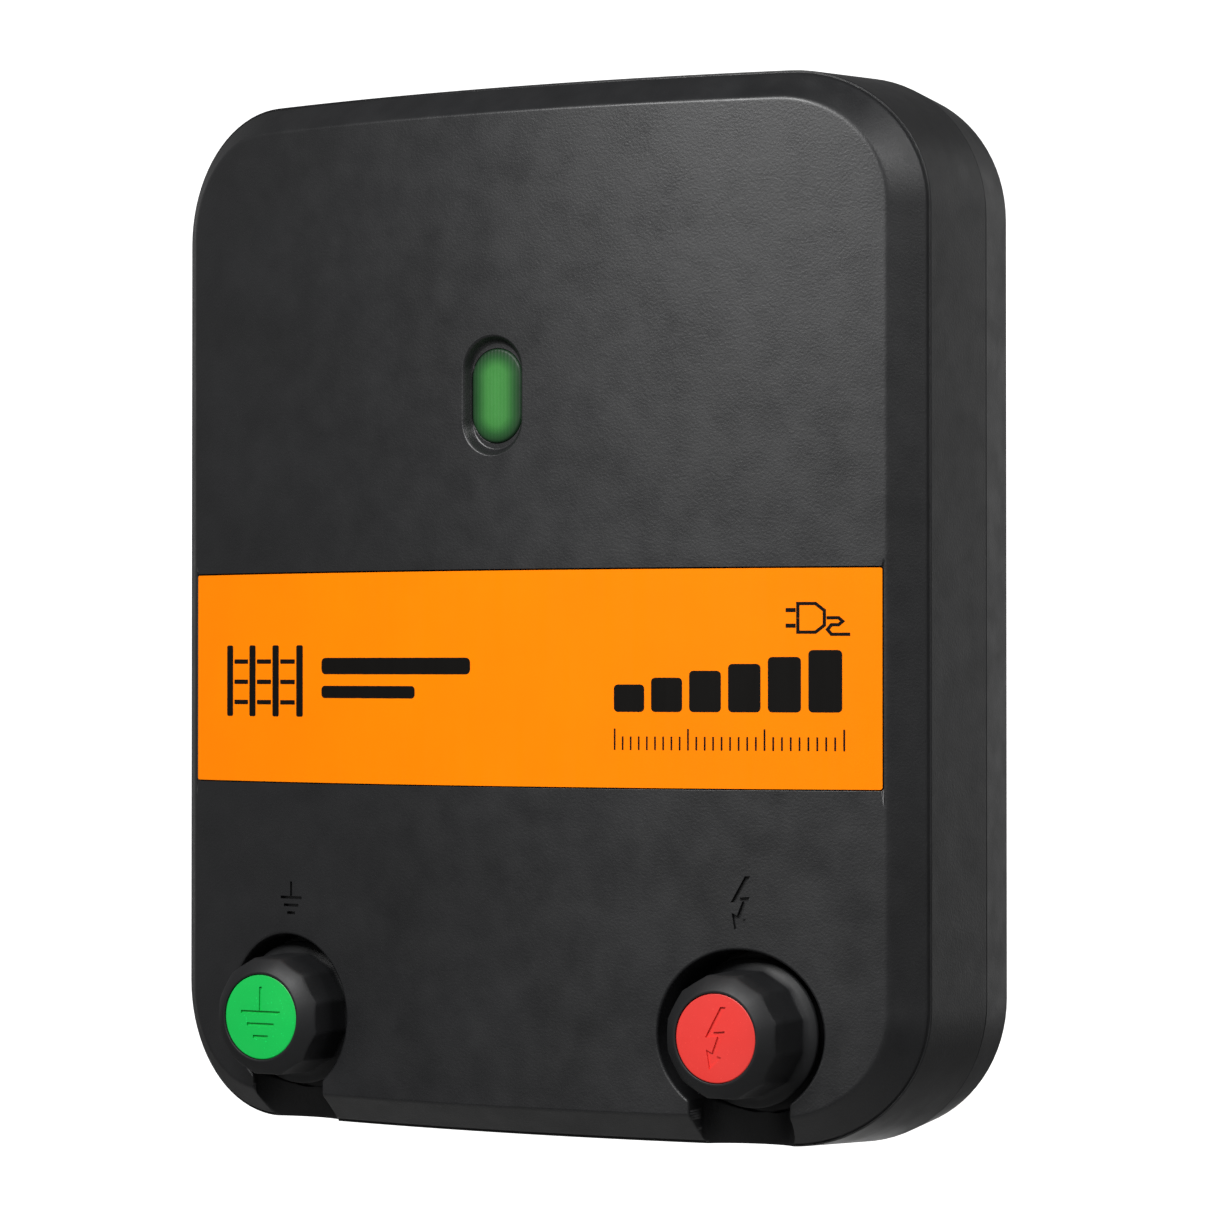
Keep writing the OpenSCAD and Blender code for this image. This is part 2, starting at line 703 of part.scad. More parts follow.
module transformer_bolts() color([0.65, 0.66, 0.68]) for (p = bolt_places) translate([p[0], 0, p[1]]) {
  rod_y(bolt_radius, core_front_y, -10);
  rod_y(3.6, core_front_y - 2.6, core_front_y);
}

module transformer_nuts() color([0.68, 0.68, 0.7]) for (p = bolt_places)
  translate([p[0], 0, p[1]]) difference() {
    translate([0, bracket_y, 0]) rotate([-90, 0, 0]) cylinder(r = 2 * bolt_radius, h = 3.2, $fn = 6);
    rod_y(bolt_radius, bracket_y - 1, bracket_y + 5);
  }

module bracket_screws() color([0.68, 0.68, 0.7]) at_bracket_screws() {
  rod_y(bracket_screw_radius, core_back_y, -5);
  rod_y(3, core_back_y - 2, core_back_y);
}

// ---- mains side ----

block_z = -106;
block_half_width = 15;
block_half_height = 7;
pole_pitch = 8;

module mains_terminal_block() color([0.85, 0.85, 0.82]) translate([0, 0, block_z]) difference() {
  box([-block_half_width, -17, -block_half_height], [block_half_width, -wall, block_half_height]);
  for (i = [-1 : 1]) translate([i * pole_pitch, 0, 0]) {
    rod_y(2.4, -18, -11);
    translate([0, -10, -block_half_height - 1]) cylinder(r = 1.8, h = 2 * block_half_height + 2);
  }
}

// ---- leads: round wires along smooth paths ----

function blend(a, b, c, d, t) = 0.5 * (2 * b + (c - a) * t + (2 * a - 5 * b + 4 * c - d) * t * t
  + (3 * b - a - 3 * c + d) * t * t * t);
function smooth_path(p) = [for (i = [0 : len(p) - 2], t = [0, 0.5])
  blend(p[max(i - 1, 0)], p[i], p[i + 1], p[min(i + 2, len(p) - 1)], t), p[len(p) - 1]];
function unit(v) = v / norm(v);
function heading(p, i) = unit(p[min(i + 1, len(p) - 1)] - p[max(i - 1, 0)]);

module wire(points, r, up) {
  sides = 8;
  path = smooth_path(points);
  last = len(path) - 1;
  rim = [for (i = [0 : last])
    let (t = heading(path, i), u = unit(cross(up, t)), v = cross(t, u))
    [for (k = [0 : sides - 1]) path[i] + r * (cos(360 * k / sides) * u + sin(360 * k / sides) * v)]];
  skins = [for (i = [0 : last - 1], k = [0 : sides - 1])
    let (n = (k + 1) % sides, low = i * sides, high = low + sides)
    each [[low + k, high + k, high + n], [low + k, high + n, low + n]]];
  start = [[for (k = [0 : sides - 1]) k]];
  end = [[for (k = [sides - 1 : -1 : 0]) last * sides + k]];
  polyhedron(points = [for (ring = rim) each ring], faces = concat(start, skins, end));
}

mains_lead_radius = 1.2;
primary_lead_radius = 1.1;
output_lead_radius = 1.5;

module mains_leads() color([0.45, 0.25, 0.12]) {
  wire([[8, -10, -103], [8, -10, -99], [14, -8.5, -95.5], [30, -7, -95], [50, -7, -93], [58, -7, -82],
        [58, -7, -20], [62, -11, -8], [69, -17, -3], [70.5, -18.5, 7]], mains_lead_radius, [0, 1, 0]);
  wire([[-8, -10, -103], [-8, -10, -99], [-4, -8, -92], [20, -6, -90.5], [42, -6, -90], [52, -7, -84],
        [54, -7, -72], [54, -7, -20], [56, -10, -6], [60.5, -17, -2], [61.5, -18.5, 7]],
       mains_lead_radius, [0, 1, 0]);
}

module primary_leads() color([0.6, 0.55, 0.1]) for (side = [-1, 1])
  wire([[side * 12, -53.4, -66], [side * 12, -56, -60], [side * 12, -55, -44], [side * 10, -52, -26],
        [side * 6, -38, -12], [side * 4.5, -22, -2], [side * 4.5, -18.5, 11]],
       primary_lead_radius, [1, 0, 0]);

module output_lead(side)
  wire([[side * 15, -53.4, -56], [side * 20, -56, -60], [side * 36, -52, -66], [side * 44, -42, -70],
        [side * 53, -38, -71], [side * (terminal_x - 1), lug_axis_y - 0.2, -74.5],
        [side * terminal_x, lug_axis_y, -79], [side * terminal_x, lug_axis_y, -83],
        [side * terminal_x, lug_axis_y, -86.6]], output_lead_radius, [0, 1, 0]);

module fence_lead() color([0.75, 0.08, 0.06]) output_lead(1);

module earth_lead() color([0.1, 0.5, 0.15]) output_lead(-1);

// ---- fixed parts of the two terminals ----

module at_terminals() {
  for (side = [-1, 1]) translate([side * terminal_x, 0, -terminal_drop]) children();
}

module stud_nuts() color([0.75, 0.72, 0.6]) at_terminals() {
  for (y = [floor_back_y, lug_back_y]) difference() {
    translate([0, y, 0]) rotate([-90, 0, 0]) cylinder(r = nut_radius, h = nut_height, $fn = 6);
    rod_y(stud_radius, y - 1, y + nut_height + 1);
  }
}

lug_eye_radius = 7;
lug_tail = 12;
lug_barrel_radius = 2.4;
lug_barrel_length = 6.5;

module terminal_lugs() color([0.8, 0.78, 0.7]) at_terminals()
  translate([0, lug_back_y - lug_thickness, 0]) {
    difference() {
      union() {
        rod_y(lug_eye_radius, 0, lug_thickness);
        box([-2.5, 0, 0], [2.5, lug_thickness, lug_tail]);
      }
      rod_y(stud_radius + 0.1, -1, lug_thickness + 1);
    }
    translate([0, lug_thickness / 2, lug_tail - 0.2]) difference() {
      cylinder(r = lug_barrel_radius, h = lug_barrel_length);
      translate([0, 0, -1]) cylinder(r = output_lead_radius + 0.15, h = lug_barrel_length + 2.5);
    }
  }

module stud_seals() color([0.12, 0.12, 0.13]) at_terminals()
  tube_y(stud_radius + seal_width, stud_radius + 2 * hair, floor_back_y - seal_depth + 0.1,
         floor_back_y - fit);

module stud() {
  difference() {
    union() {
      rod_y(stud_radius, stud_front_y + stud_chamfer, stud_back_y);
      translate([0, stud_front_y, 0]) rotate([-90, 0, 0])
        cylinder(r1 = stud_radius - stud_chamfer, r2 = stud_radius, h = stud_chamfer);
    }
    translate([0, lead_hole_y, -10]) cylinder(r = lead_hole_radius, h = 20);
  }
}

module fence_part() translate([terminal_x, 0, -terminal_drop]) children();

module earth_part() translate([-terminal_x, 0, -terminal_drop]) children();

module contact() tube_y(washer_radius, stud_radius + fit, contact_front_y, pocket_floor_y);

module fence_stud() color([0.82, 0.68, 0.3]) fence_part() stud();

module earth_stud() color([0.82, 0.68, 0.3]) earth_part() stud();

module fence_contact() color([0.78, 0.78, 0.76]) fence_part() contact();

module earth_contact() color([0.78, 0.78, 0.76]) earth_part() contact();

// ---- moving parts of the two terminals ----

// The captive washer that presses on the lead and doesn't turn
module washer() difference() {
  rod_y(washer_radius, washer_front_y, washer_back_y);
  rod_y(bush_radius - 0.5, washer_front_y - 1, washer_back_y + 1);
  rod_y(bush_radius + 0.5, washer_back_y - 0.9, washer_back_y + 1);
}

// The threaded insert, whose tail holds the washer captive
module bush() difference() {
  union() {
    rod_y(bush_radius, bush_front_y, washer_front_y - 0.5);
    rod_y(bush_radius - 0.8, washer_front_y - 0.6, washer_back_y - 0.6);
    rod_y(bush_radius + 0.1, washer_back_y - 0.6, washer_back_y - 0.1);
  }
  rod_y(stud_radius + fit, bush_front_y - 1, washer_back_y + 1);
}

module knob() difference() {
  union() {
    intersection() {
      translate([0, knob_front_y, 0]) rotate([-90, 15, 0])
        cylinder(r = grip_radius, h = grip_back_y - knob_front_y, $fn = 12);
      union() {
        translate([0, knob_front_y, 0]) rotate([-90, 0, 0])
          cylinder(r1 = disc_radius + 0.6, r2 = grip_radius - 0.2, h = bevel_back_y - knob_front_y);
        rod_y(grip_radius + 1, bevel_back_y, grip_back_y);
      }
    }
    translate([0, grip_back_y, 0]) rotate([-90, 0, 0])
      cylinder(r1 = grip_radius - 0.2, r2 = skirt_radius, h = skirt_front_y - grip_back_y);
    rod_y(skirt_radius, skirt_front_y, knob_back_y);
  }
  rod_y(disc_radius, knob_front_y - 1, knob_front_y + disc_depth);
  rod_y(bush_radius, bush_front_y, knob_back_y + 1);
  rod_y(washer_radius + 1, washer_front_y - 0.5, knob_back_y + 1);
}

module disc() slab(knob_front_y, knob_front_y + disc_depth) circle(disc_radius);

module fence_washer() color([0.75, 0.75, 0.73]) fence_part() washer();

module fence_bush() color([0.82, 0.68, 0.3]) fence_part() bush();

module fence_knob() color([0.09, 0.09, 0.095]) fence_part() knob();

module fence_disc() color([0.9, 0.16, 0.15]) fence_part() difference() {
  disc();
  slab(knob_front_y - 1, knob_front_y + symbol_depth) bolt_symbol(disc_bolt_size);
}

module earth_washer() color([0.75, 0.75, 0.73]) earth_part() washer();

module earth_bush() color([0.82, 0.68, 0.3]) earth_part() bush();

module earth_knob() color([0.09, 0.09, 0.095]) earth_part() knob();

module earth_disc() color([0.08, 0.72, 0.3]) earth_part() difference() {
  disc();
  slab(knob_front_y - 1, knob_front_y + symbol_depth) earth_symbol(disc_earth_size);
}

front_cover();
rear_housing();
cover_gasket();
label();
indicator_lens();
led_spacers();
indicator_leds();
control_board();
board_screws();
cover_screws();
storage_capacitors();
capacitor_cradle();
capacitor_ties();
heatsink();
thyristors();
power_resistors();
bridge_rectifier();
fuse();
fuse_clips();
varistor();
choke_core();
choke_windings();
filter_capacitor();
reservoir_capacitor();
flyback_core();
flyback_winding();
controller_chip();
board_terminals();
e_core();
i_core();
bobbin();
primary_winding();
secondary_winding();
transformer_brackets();
transformer_bolts();
transformer_nuts();
bracket_screws();
mains_terminal_block();
mains_leads();
primary_leads();
fence_lead();
earth_lead();
terminal_lugs();
stud_nuts();
stud_seals();
fence_stud();
earth_stud();
fence_contact();
earth_contact();
cord_gland();
fence_washer();
fence_knob();
fence_bush();
fence_disc();
earth_washer();
earth_knob();
earth_bush();
earth_disc();
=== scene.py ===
import json
from math import asin, copysign, cos, hypot, pi, radians, sin, sqrt

import bpy
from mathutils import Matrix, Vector
from mathutils.geometry import delaunay_2d_cdt


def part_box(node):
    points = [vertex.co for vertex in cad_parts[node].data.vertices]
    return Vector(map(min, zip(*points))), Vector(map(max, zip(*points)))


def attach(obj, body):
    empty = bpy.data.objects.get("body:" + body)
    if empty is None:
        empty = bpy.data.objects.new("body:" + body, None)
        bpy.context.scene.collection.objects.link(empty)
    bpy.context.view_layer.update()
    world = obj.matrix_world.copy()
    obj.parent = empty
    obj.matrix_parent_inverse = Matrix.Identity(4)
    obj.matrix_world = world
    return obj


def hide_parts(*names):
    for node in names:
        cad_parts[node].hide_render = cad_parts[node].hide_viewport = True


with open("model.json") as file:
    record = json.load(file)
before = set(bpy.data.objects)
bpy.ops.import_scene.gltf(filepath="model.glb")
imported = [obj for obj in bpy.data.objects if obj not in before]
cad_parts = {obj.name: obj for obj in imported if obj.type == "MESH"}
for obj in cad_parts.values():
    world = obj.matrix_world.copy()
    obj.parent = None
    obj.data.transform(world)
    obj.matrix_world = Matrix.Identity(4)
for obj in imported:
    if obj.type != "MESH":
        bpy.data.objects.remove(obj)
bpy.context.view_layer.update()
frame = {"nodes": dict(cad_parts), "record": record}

# ---- sizes, in millimetres in the row frame: the wall is y = 0 and the front looks along -Y ----

MM = 0.001
scene = bpy.context.scene


def box_mm(node):
    low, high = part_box(node)
    return low / MM, high / MM


cover_low, cover_high = box_mm("front_cover")
label_low, label_high = box_mm("label")
lens_low, lens_high = box_mm("indicator_lens")
knob_low, knob_high = box_mm("fence_knob")
disc_low, disc_high = box_mm("fence_disc")
stud_low, stud_high = box_mm("fence_stud")

# The case: an outline at the parting line, and a smaller one where the front's bevel begins.
wall = 3
crown_y = cover_low.y
part_y = cover_high.y
rim_half_width = cover_high.x
rim_half_height = cover_high.z
rim_radius = 34.5
cover_spread = 2
half_width = rim_half_width - cover_spread
half_height = rim_half_height - cover_spread
corner_radius = 32
rear_taper = 1.5
bevel_width = 7.1
bevel_reach = bevel_width + 1.5
bevel_depth = 8.8
shoulder_y = crown_y + bevel_depth
face_curve = 300
shoulder_curve = 350
soft_edge = 0.6

# The terminals: a pocket about each stud, with a half-round wire channel below it.
terminal_x = (stud_low.x + stud_high.x) / 2
terminal_z = (stud_low.z + stud_high.z) / 2
pocket_radius = 19.5
pocket_wall = 2.2
pocket_floor_y = box_mm("fence_contact")[1].y
pocket_fillet = 0.7
pocket_floor_fillet = 0.6
pocket_draft = 0.3
channel_radius = 11.8
channel_wall = 2.5
channel_axis_y = pocket_floor_y - channel_radius
channel_fillet = 0.6
channel_draft = 0.15
channel_rise = 30

# The indicator: a window through the cover, in a shallow oval recess. An oval is its two half sizes.
lens_z = (lens_low.z + lens_high.z) / 2
lens_front_y = lens_low.y
lens_oval = (6.9, 11.3)
window_gap = 0.1
window_steps = 22
flange_oval = ((lens_high.x - lens_low.x) / 2, (lens_high.z - lens_low.z) / 2)
flange_front_y = lens_high.y - 1.2
recess_oval = (7.7, 13.75)
recess_floor_y = lens_front_y + 0.5
recess_lead = 0.7
recess_slope = 1.9

# The label film, in a step as deep as itself.
label_half_width = label_high.x
label_top = label_high.z
label_bottom = label_low.z
label_thickness = 0.4
label_gap = 0.3
label_edge = 0.09
label_clear = 5

# The knobs: a twelve-sided grip on a flared skirt, with a disc let into the front.
knob_front_y = knob_low.y
knob_back_y = knob_high.y
skirt_radius = (knob_high.x - knob_low.x) / 2
disc_radius = (disc_high.x - disc_low.x) / 2
disc_back_y = disc_high.y
grip_apothem = 14.1
grip_facets = 12
grip_reach = 1.033


# ---- plain geometry ----

def sag(x, radius):
    return radius - sqrt(radius * radius - x * x)


def mix(a, b, t):
    return a + (b - a) * t


def smooth_max(a, b, width):
    near = max(width - abs(a - b), 0) / width
    return max(a, b) + near * near * width / 4


def round_over(distance, radius):
    """How far a surface drops away at this distance inside a rounded edge."""
    if distance >= radius:
        return 0
    reach = radius - max(distance, 0)
    return radius - sqrt(max(radius * radius - reach * reach, 0))


def edge_distance(x, z, a, b, r):
    """How far inside a rounded rectangle a point lies, with the outward direction there."""
    over_x = abs(x) - (a - r)
    over_z = abs(z) - (b - r)
    if over_x > 0 and over_z > 0:
        reach = hypot(over_x, over_z)
        return r - reach, copysign(over_x / reach, x), copysign(over_z / reach, z)
    if over_x > over_z:
        return r - over_x, copysign(1, x), 0
    return r - over_z, 0, copysign(1, z)


def case_inset(x, z):
    """How far inside the bevel's outline a point lies."""
    return edge_distance(x, z, half_width, half_height, corner_radius)[0]


def terminal_distance(x, z):
    return hypot(abs(x) - terminal_x, z - terminal_z)


def oval_distance(x, z, oval, grow=0):
    """How far inside an upright oval round the indicator a point lies."""
    half_w, half_h = oval
    rise = max(abs(z - lens_z) - (half_h - half_w), 0)
    return half_w + grow - hypot(x, rise)


def oval_loop(oval, grow=0, steps=14):
    """An upright oval round the indicator, counterclockwise from its right side."""
    half_w, half_h = oval
    straight = half_h - half_w
    radius = half_w + grow
    loop = []
    for turn, middle in ((0, lens_z + straight), (pi, lens_z - straight)):
        for i in range(steps + 1):
            angle = turn + pi * i / steps
            loop.append((radius * cos(angle), middle + radius * sin(angle)))
    return loop


def limited(share):
    return min(max(share, 0), 1)


def around(ring):
    """Each item of a closed ring with the one after it."""
    return list(zip(ring, ring[1:] + ring[:1]))


def middle_of(points):
    return [sum(values) / len(points) for values in zip(*points)]


def circle_loop(cx, cz, radius, steps):
    return [(cx + radius * cos(2 * pi * i / steps),
             cz + radius * sin(2 * pi * i / steps)) for i in range(steps)]


def box_loop(low_x, low_z, high_x, high_z, radius, run):
    """A rectangle with rounded corners and evenly divided sides, counterclockwise."""
    loop = []
    corners = ((high_x - radius, high_z - radius), (low_x + radius, high_z - radius),
               (low_x + radius, low_z + radius), (high_x - radius, low_z + radius))
    for quarter, ((cx, cz), (next_x, next_z)) in enumerate(around(corners)):
        for i in range(5):
            angle = pi / 2 * (quarter + i / 4)
            loop.append((cx + radius * cos(angle), cz + radius * sin(angle)))
        x, z = loop[-1]
        reach_x, reach_z = next_x - cx, next_z - cz
        count = max(2, int(hypot(reach_x, reach_z) / run))
        loop += [(x + reach_x * i / count, z + reach_z * i / count) for i in range(1, count)]
    return loop


# ---- the walk round the case's outline: a base point and an outward direction at each step ----

CHANNEL_STEPS = [0, 1.5, 3, 4.5, 6, 7.3, 8.5, 9.5, 10.2, 10.6, 11, 11.4, 11.7, 11.9, 12.6, 13.5, 14.3]


def case_walk():
    flat_x = half_width - corner_radius
    walk = []
    places = sorted({side * (terminal_x + hand * step)
                     for step in CHANNEL_STEPS for hand in (-1, 1) for side in (-1, 1)})
    lean = [asin((x - flat_x) / corner_radius) for x in places if x > flat_x]
    flats = sorted([x for x in places if abs(x) < flat_x] + [6 * i for i in range(-7, 8)])
    corner = [radians(4.5 * i) for i in range(21)]
    low_corner = [0] + lean + [a for a in corner if a > max(lean) + 0.02]

    def arc(fx, fz, angles):
        walk.extend((fx, fz, cos(a), sin(a)) for a in angles)

    def run(count, place):
        walk.extend(place(mix(-1, 1, i / count)) for i in range(1, count))

    run(16, lambda t: (1, t, 1, 0))
    arc(1, 1, corner)
    run(24, lambda t: (-t, 1, 0, 1))
    arc(-1, 1, [pi / 2 + a for a in corner])
    run(16, lambda t: (-1, -t, -1, 0))
    down = 1.5 * pi
    arc(-1, -1, [down - a for a in reversed(low_corner)])
    walk.extend((x / flat_x, -1, 0, -1) for x in flats)
    arc(1, -1, [down + a for a in low_corner])
    return walk


WALK = case_walk()


def outline(a, b, r):
    return [(fx * (a - r) + nx * r, fz * (b - r) + nz * r) for fx, fz, nx, nz in WALK]


def inset_outline(inset):
    return outline(half_width - inset, half_height - inset, corner_radius - inset)


def rim_ring(inset, y, radius=rim_radius):
    """The case's outline at the parting line, drawn in by an inset, at a depth."""
    return [(x, y, z) for x, z in outline(rim_half_width - inset, rim_half_height - inset, radius)]


def outward(slope, sign=1):
    return [(sign * nx, slope, sign * nz) for _, _, nx, nz in WALK]


# ---- drawn shapes ----

def inside_shape(x, z, shape):
    """Whether a point lies in a closed outline."""
    hit = False
    for (x1, z1), (x2, z2) in around(shape):
        if (z1 > z) != (z2 > z) and x < x1 + (z - z1) / (z2 - z1) * (x2 - x1):
            hit = not hit
    return hit


def stroke(points, width):
    """The outline of a line drawn with a pen of this width, with square mitred corners."""
    left, right = [], []
    places = [Vector(p) for p in points]
    ways = [(b - a).normalized() for a, b in zip(places, places[1:])]
    for here, arriving, leaving in zip(places, ways[:1] + ways, ways + ways[-1:]):
        along = (arriving + leaving).normalized()
        side = Vector((-along.y, along.x))
        reach = width / 2 / max(side.dot(Vector((-leaving.y, leaving.x))), 0.35)
        left.append(tuple(here + side * reach))
        right.append(tuple(here - side * reach))
    return right + left[::-1]


def bolt_shapes(cx, cz, size):
    """A zigzag spark with a small arrow head at its foot, as one closed outline."""
    zigzag = [(0.09, 0.5), (-0.18, 0.01), (0.04, 0.03), (-0.06, -0.23), (-0.16, -0.18), (-0.11, -0.5),
              (0.11, -0.3), (0.02, -0.27), (0.18, 0.12), (-0.04, 0.1), (0.19, 0.5)]
    return [[(cx + x * size, cz + z * size) for x, z in reversed(zigzag)]]


def earth_shapes(cx, cz, size, width):
    """An upright line above three shortening bars."""
    shapes = [stroke([(cx, cz + size * 0.5), (cx, cz + size * 0.04 + width / 2 + 0.02)], width)]
    for i in range(3):
        z = cz + size * (0.04 - 0.22 * i)
        half = size * (0.42 - 0.13 * i)
        shapes.append(stroke([(cx - half, z), (cx + half, z)], width))
    return shapes


# ---- meshes ----

def add_object(name, data):
    item = bpy.data.objects.new(name, data)
    scene.collection.objects.link(item)
    return item


def build(name, points, faces, normals=None):
    """A mesh object from points in millimetres, shaded by its own normals or by its angles."""
    mesh = bpy.data.meshes.new(name)
    mesh.from_pydata([[c * MM for c in p] for p in points], [], faces)
    mesh.shade_smooth()
    if normals:
        mesh.normals_split_custom_set_from_vertices(normals)
    else:
        mesh.set_sharp_from_angle(angle=radians(32))
    return add_object(name, mesh)


def triangulate(loops, extra, keep, lines=()):
    """Triangles over a flat region, with every loop and line as edges. Returns the points, the
    triangles, and for each given point its number among them."""
    given, edges = [], []
    for loop in loops:
        start = len(given)
        given += loop
        edges += around(list(range(start, len(given))))
    for line in lines:
        start = len(given)
        given += line
        edges += [(start + i, start + i + 1) for i in range(len(line) - 1)]
    given += extra
    result = delaunay_2d_cdt([Vector(p) for p in given], edges, [], 1, 1e-5, True)
    flat = [(p.x, p.y) for p in result[0]]
    kept = [list(tri) for tri in result[2] if keep(*middle_of([flat[i] for i in tri]))]
    place = {source: index for index, sources in enumerate(result[3]) for source in sources}
    return flat, kept, place


def picked(numbers, place, start, count):
    """A shell's numbers for a run of the given points."""
    return [numbers[place[start + i]] for i in range(count)]


def slope_normal(depth, x, z):
    step = 0.01
    across = (depth(x + step, z) - depth(x - step, z)) / (2 * step)
    up = (depth(x, z + step) - depth(x, z - step)) / (2 * step)
    return Vector((across, -1, up)).normalized()


class Shell:
    """Gathers the points, faces and normals of one closed piece."""

    def __init__(self):
        self.points, self.faces, self.normals = [], [], []

    def add(self, point, normal):
        self.points.append(point)
        self.normals.append(Vector(normal).normalized())
        return len(self.points) - 1

    def ring(self, points, normals):
        return [self.add(p, n) for p, n in zip(points, normals)]

    def join(self, first, second, flip=False):
        """Faces between two rings of the same length."""
        for (a, b), (c, d) in zip(around(first), around(second)):
            face = [a, b, d, c]
            self.faces.append(face[::-1] if flip else face)

    def band(self, top, normals, bottom, rows, flip):
        """A wall in rows between two rings of points. Returns its first and last rings."""
        first = previous = self.ring(top, normals)
        for row in range(1, rows + 1):
            points = [[mix(a, b, row / rows) for a, b in zip(p, q)] for p, q in zip(top, bottom)]
            current = self.ring(points, normals)
            self.join(previous, current, flip)
            previous = current
        return first, previous

    def fan(self, ring, centre, normal):
        """A flat floor between a ring and one point."""
        middle = self.add(centre, normal)
        for a, b in around(ring):
            self.faces.append([a, b, middle])

    def sheet(self, flat, triangles, depth, flip=False):
        """A surface whose depth is given at each place. Returns its points' numbers."""
        numbers = {}
        for i in sorted({i for tri in triangles for i in tri}):
            x, z = flat[i]
            normal = slope_normal(depth, x, z)
            numbers[i] = self.add((x, depth(x, z), z), -normal if flip else normal)
        for tri in triangles:
            face = [numbers[i] for i in tri]
            self.faces.append(face[::-1] if flip else face)
        return numbers

    def pressed_sheet(self, flat, triangles, depth, shapes, sink):
        """A surface with shapes pressed into it, each with upright walls round its floor."""
        def within(tri):
            x, z = middle_of([flat[i] for i in tri])
            return any(inside_shape(x, z, shape) for shape in shapes)

        floors = [tri for tri in triangles if within(tri)]
        upper = self.sheet(flat, [tri for tri in triangles if not within(tri)], depth)
        lower = self.sheet(flat, floors, lambda x, z: depth(x, z) + sink)
        edges = {(a, b) for tri in floors for a, b in around(tri)}
        for a, b in sorted(edges):
            if (b, a) not in edges:
                self.wall_between(lower[b], lower[a], upper[a], upper[b])
        return upper

    def wall_between(self, a, b, c, d):
        """One upright face with corners of its own, so that its edges stay crisp."""
        corners = [Vector(self.points[i]) for i in (a, b, c, d)]
        normal = (corners[1] - corners[0]).cross(corners[2] - corners[1])
        self.faces.append([self.add(tuple(p), normal) for p in corners])

    def finish(self, name):
        return build(name, self.points, self.faces, self.normals)


# ---- materials: each is built from nodes, with its own grain, variation and wear ----

MATERIALS = {}


def add_node(tree, kind, output, inputs, **settings):
    """Adds a node and returns one output. Each input is a socket to link or a plain value."""
    node = tree.nodes.new("ShaderNode" + kind)
    for name, value in settings.items():
        setattr(node, name, value)
    for name, value in inputs.items():
        if isinstance(value, bpy.types.NodeSocket):
            tree.links.new(value, node.inputs[name])
        else:
            node.inputs[name].default_value = value
    return node.outputs[output]


def map_range(tree, source, low, high, to_low, to_high):
    return add_node(tree, "MapRange", "Result", {
        "Value": source, "From Min": low, "From Max": high, "To Min": to_low, "To Max": to_high})


class Paint:
    """One node material, with short calls for the nodes it needs."""

    def __init__(self, name, **sockets):
        self.name = name
        self.material = bpy.data.materials.new(name)
        self.material.use_nodes = True
        self.tree = self.material.node_tree
        self.shader = self.tree.nodes["Principled BSDF"]
        for socket, value in sockets.items():
            self.shader.inputs[socket.replace("_", " ")].default_value = value
        self.where = add_node(self.tree, "TexCoord", "Object", {})

    def noise(self, scale, detail=3, rough=0.55, stretch=(1, 1, 1)):
        where = add_node(self.tree, "Mapping", "Vector", {"Vector": self.where, "Scale": stretch})
        return add_node(self.tree, "TexNoise", "Fac", {
            "Vector": where, "Scale": scale, "Detail": detail, "Roughness": rough})

    def cells(self, scale):
        return add_node(self.tree, "TexVoronoi", "Distance", {
            "Vector": self.where, "Scale": scale})

    def bands(self, scale, direction="Z"):
        return add_node(self.tree, "TexWave", "Fac", {
            "Vector": self.where, "Scale": scale, "Distortion": 0.6}, bands_direction=direction)

    def span(self, source, low, high, to_low, to_high):
        return map_range(self.tree, source, low, high, to_low, to_high)

    def worn(self, scale, low, high):
        """A roughness that wanders between two values."""
        return self.span(self.noise(scale), 0.3, 0.7, low, high)

    def ramp(self, source, stops):
        node = self.tree.nodes.new("ShaderNodeValToRGB")
        elements = node.color_ramp.elements
        while len(elements) < len(stops):
            elements.new(0.5)
        for element, (position, color) in zip(elements, stops):
            element.position = position
            element.color = (*color, 1)
        self.tree.links.new(source, node.inputs["Fac"])
        return node.outputs["Color"]

    def sum(self, operation, first, second=0):
        return add_node(self.tree, "Math", 0, {0: first, 1: second}, operation=operation)

    def finish(self, color, roughness, *layers):
        """Links the colour, the roughness and the bump layers, each a height and its depth in metres."""
        normal = None
        for height, distance in layers:
            inputs = {"Strength": 1, "Distance": distance, "Height": height}
            if normal:
                inputs["Normal"] = normal
            normal = add_node(self.tree, "Bump", "Normal", inputs)
        for name, source in (("Base Color", color), ("Roughness", roughness), ("Normal", normal)):
            if source:
                self.tree.links.new(source, self.shader.inputs[name])
        MATERIALS[self.name] = self.material
        return self.material


def shade(color, factor):
    return tuple(min(c * factor, 1) for c in color)


def moulded(name, color, rough=0.45, grain=1100, height=3e-5, level=0.5, mottle=0.25):
    """Moulded plastic: a fine spark-eroded grain, faint flow mottling, handling marks, and light specks
    that are part dirt and part painted glints of the grain.
    """
    paint = Paint(name, Specular_IOR_Level=level)
    tint = paint.ramp(paint.noise(38), [(0.3, shade(color, 1 - mottle)), (0.7, shade(color, 1 + mottle))])
    # Light specks: partly dust, partly painted glints where the grain catches the light.
    dust_and_glints = paint.ramp(paint.noise(grain * 1.9, 2), [(0.66, (0, 0, 0)), (0.78, (1, 1, 1))])
    tint_with_dust_and_glints = add_node(paint.tree, "Mix", 2, {0: dust_and_glints, 6: tint, 7: (*shade(color, 2.6), 1)}, data_type="RGBA")
    handled = paint.span(paint.noise(120, 4), 0.25, 0.75, rough - 0.06, rough + 0.07)
    return paint.finish(tint_with_dust_and_glints, handled,
                        (paint.noise(grain / 7), height * 0.3), (paint.noise(grain, 4, 0.6), height))


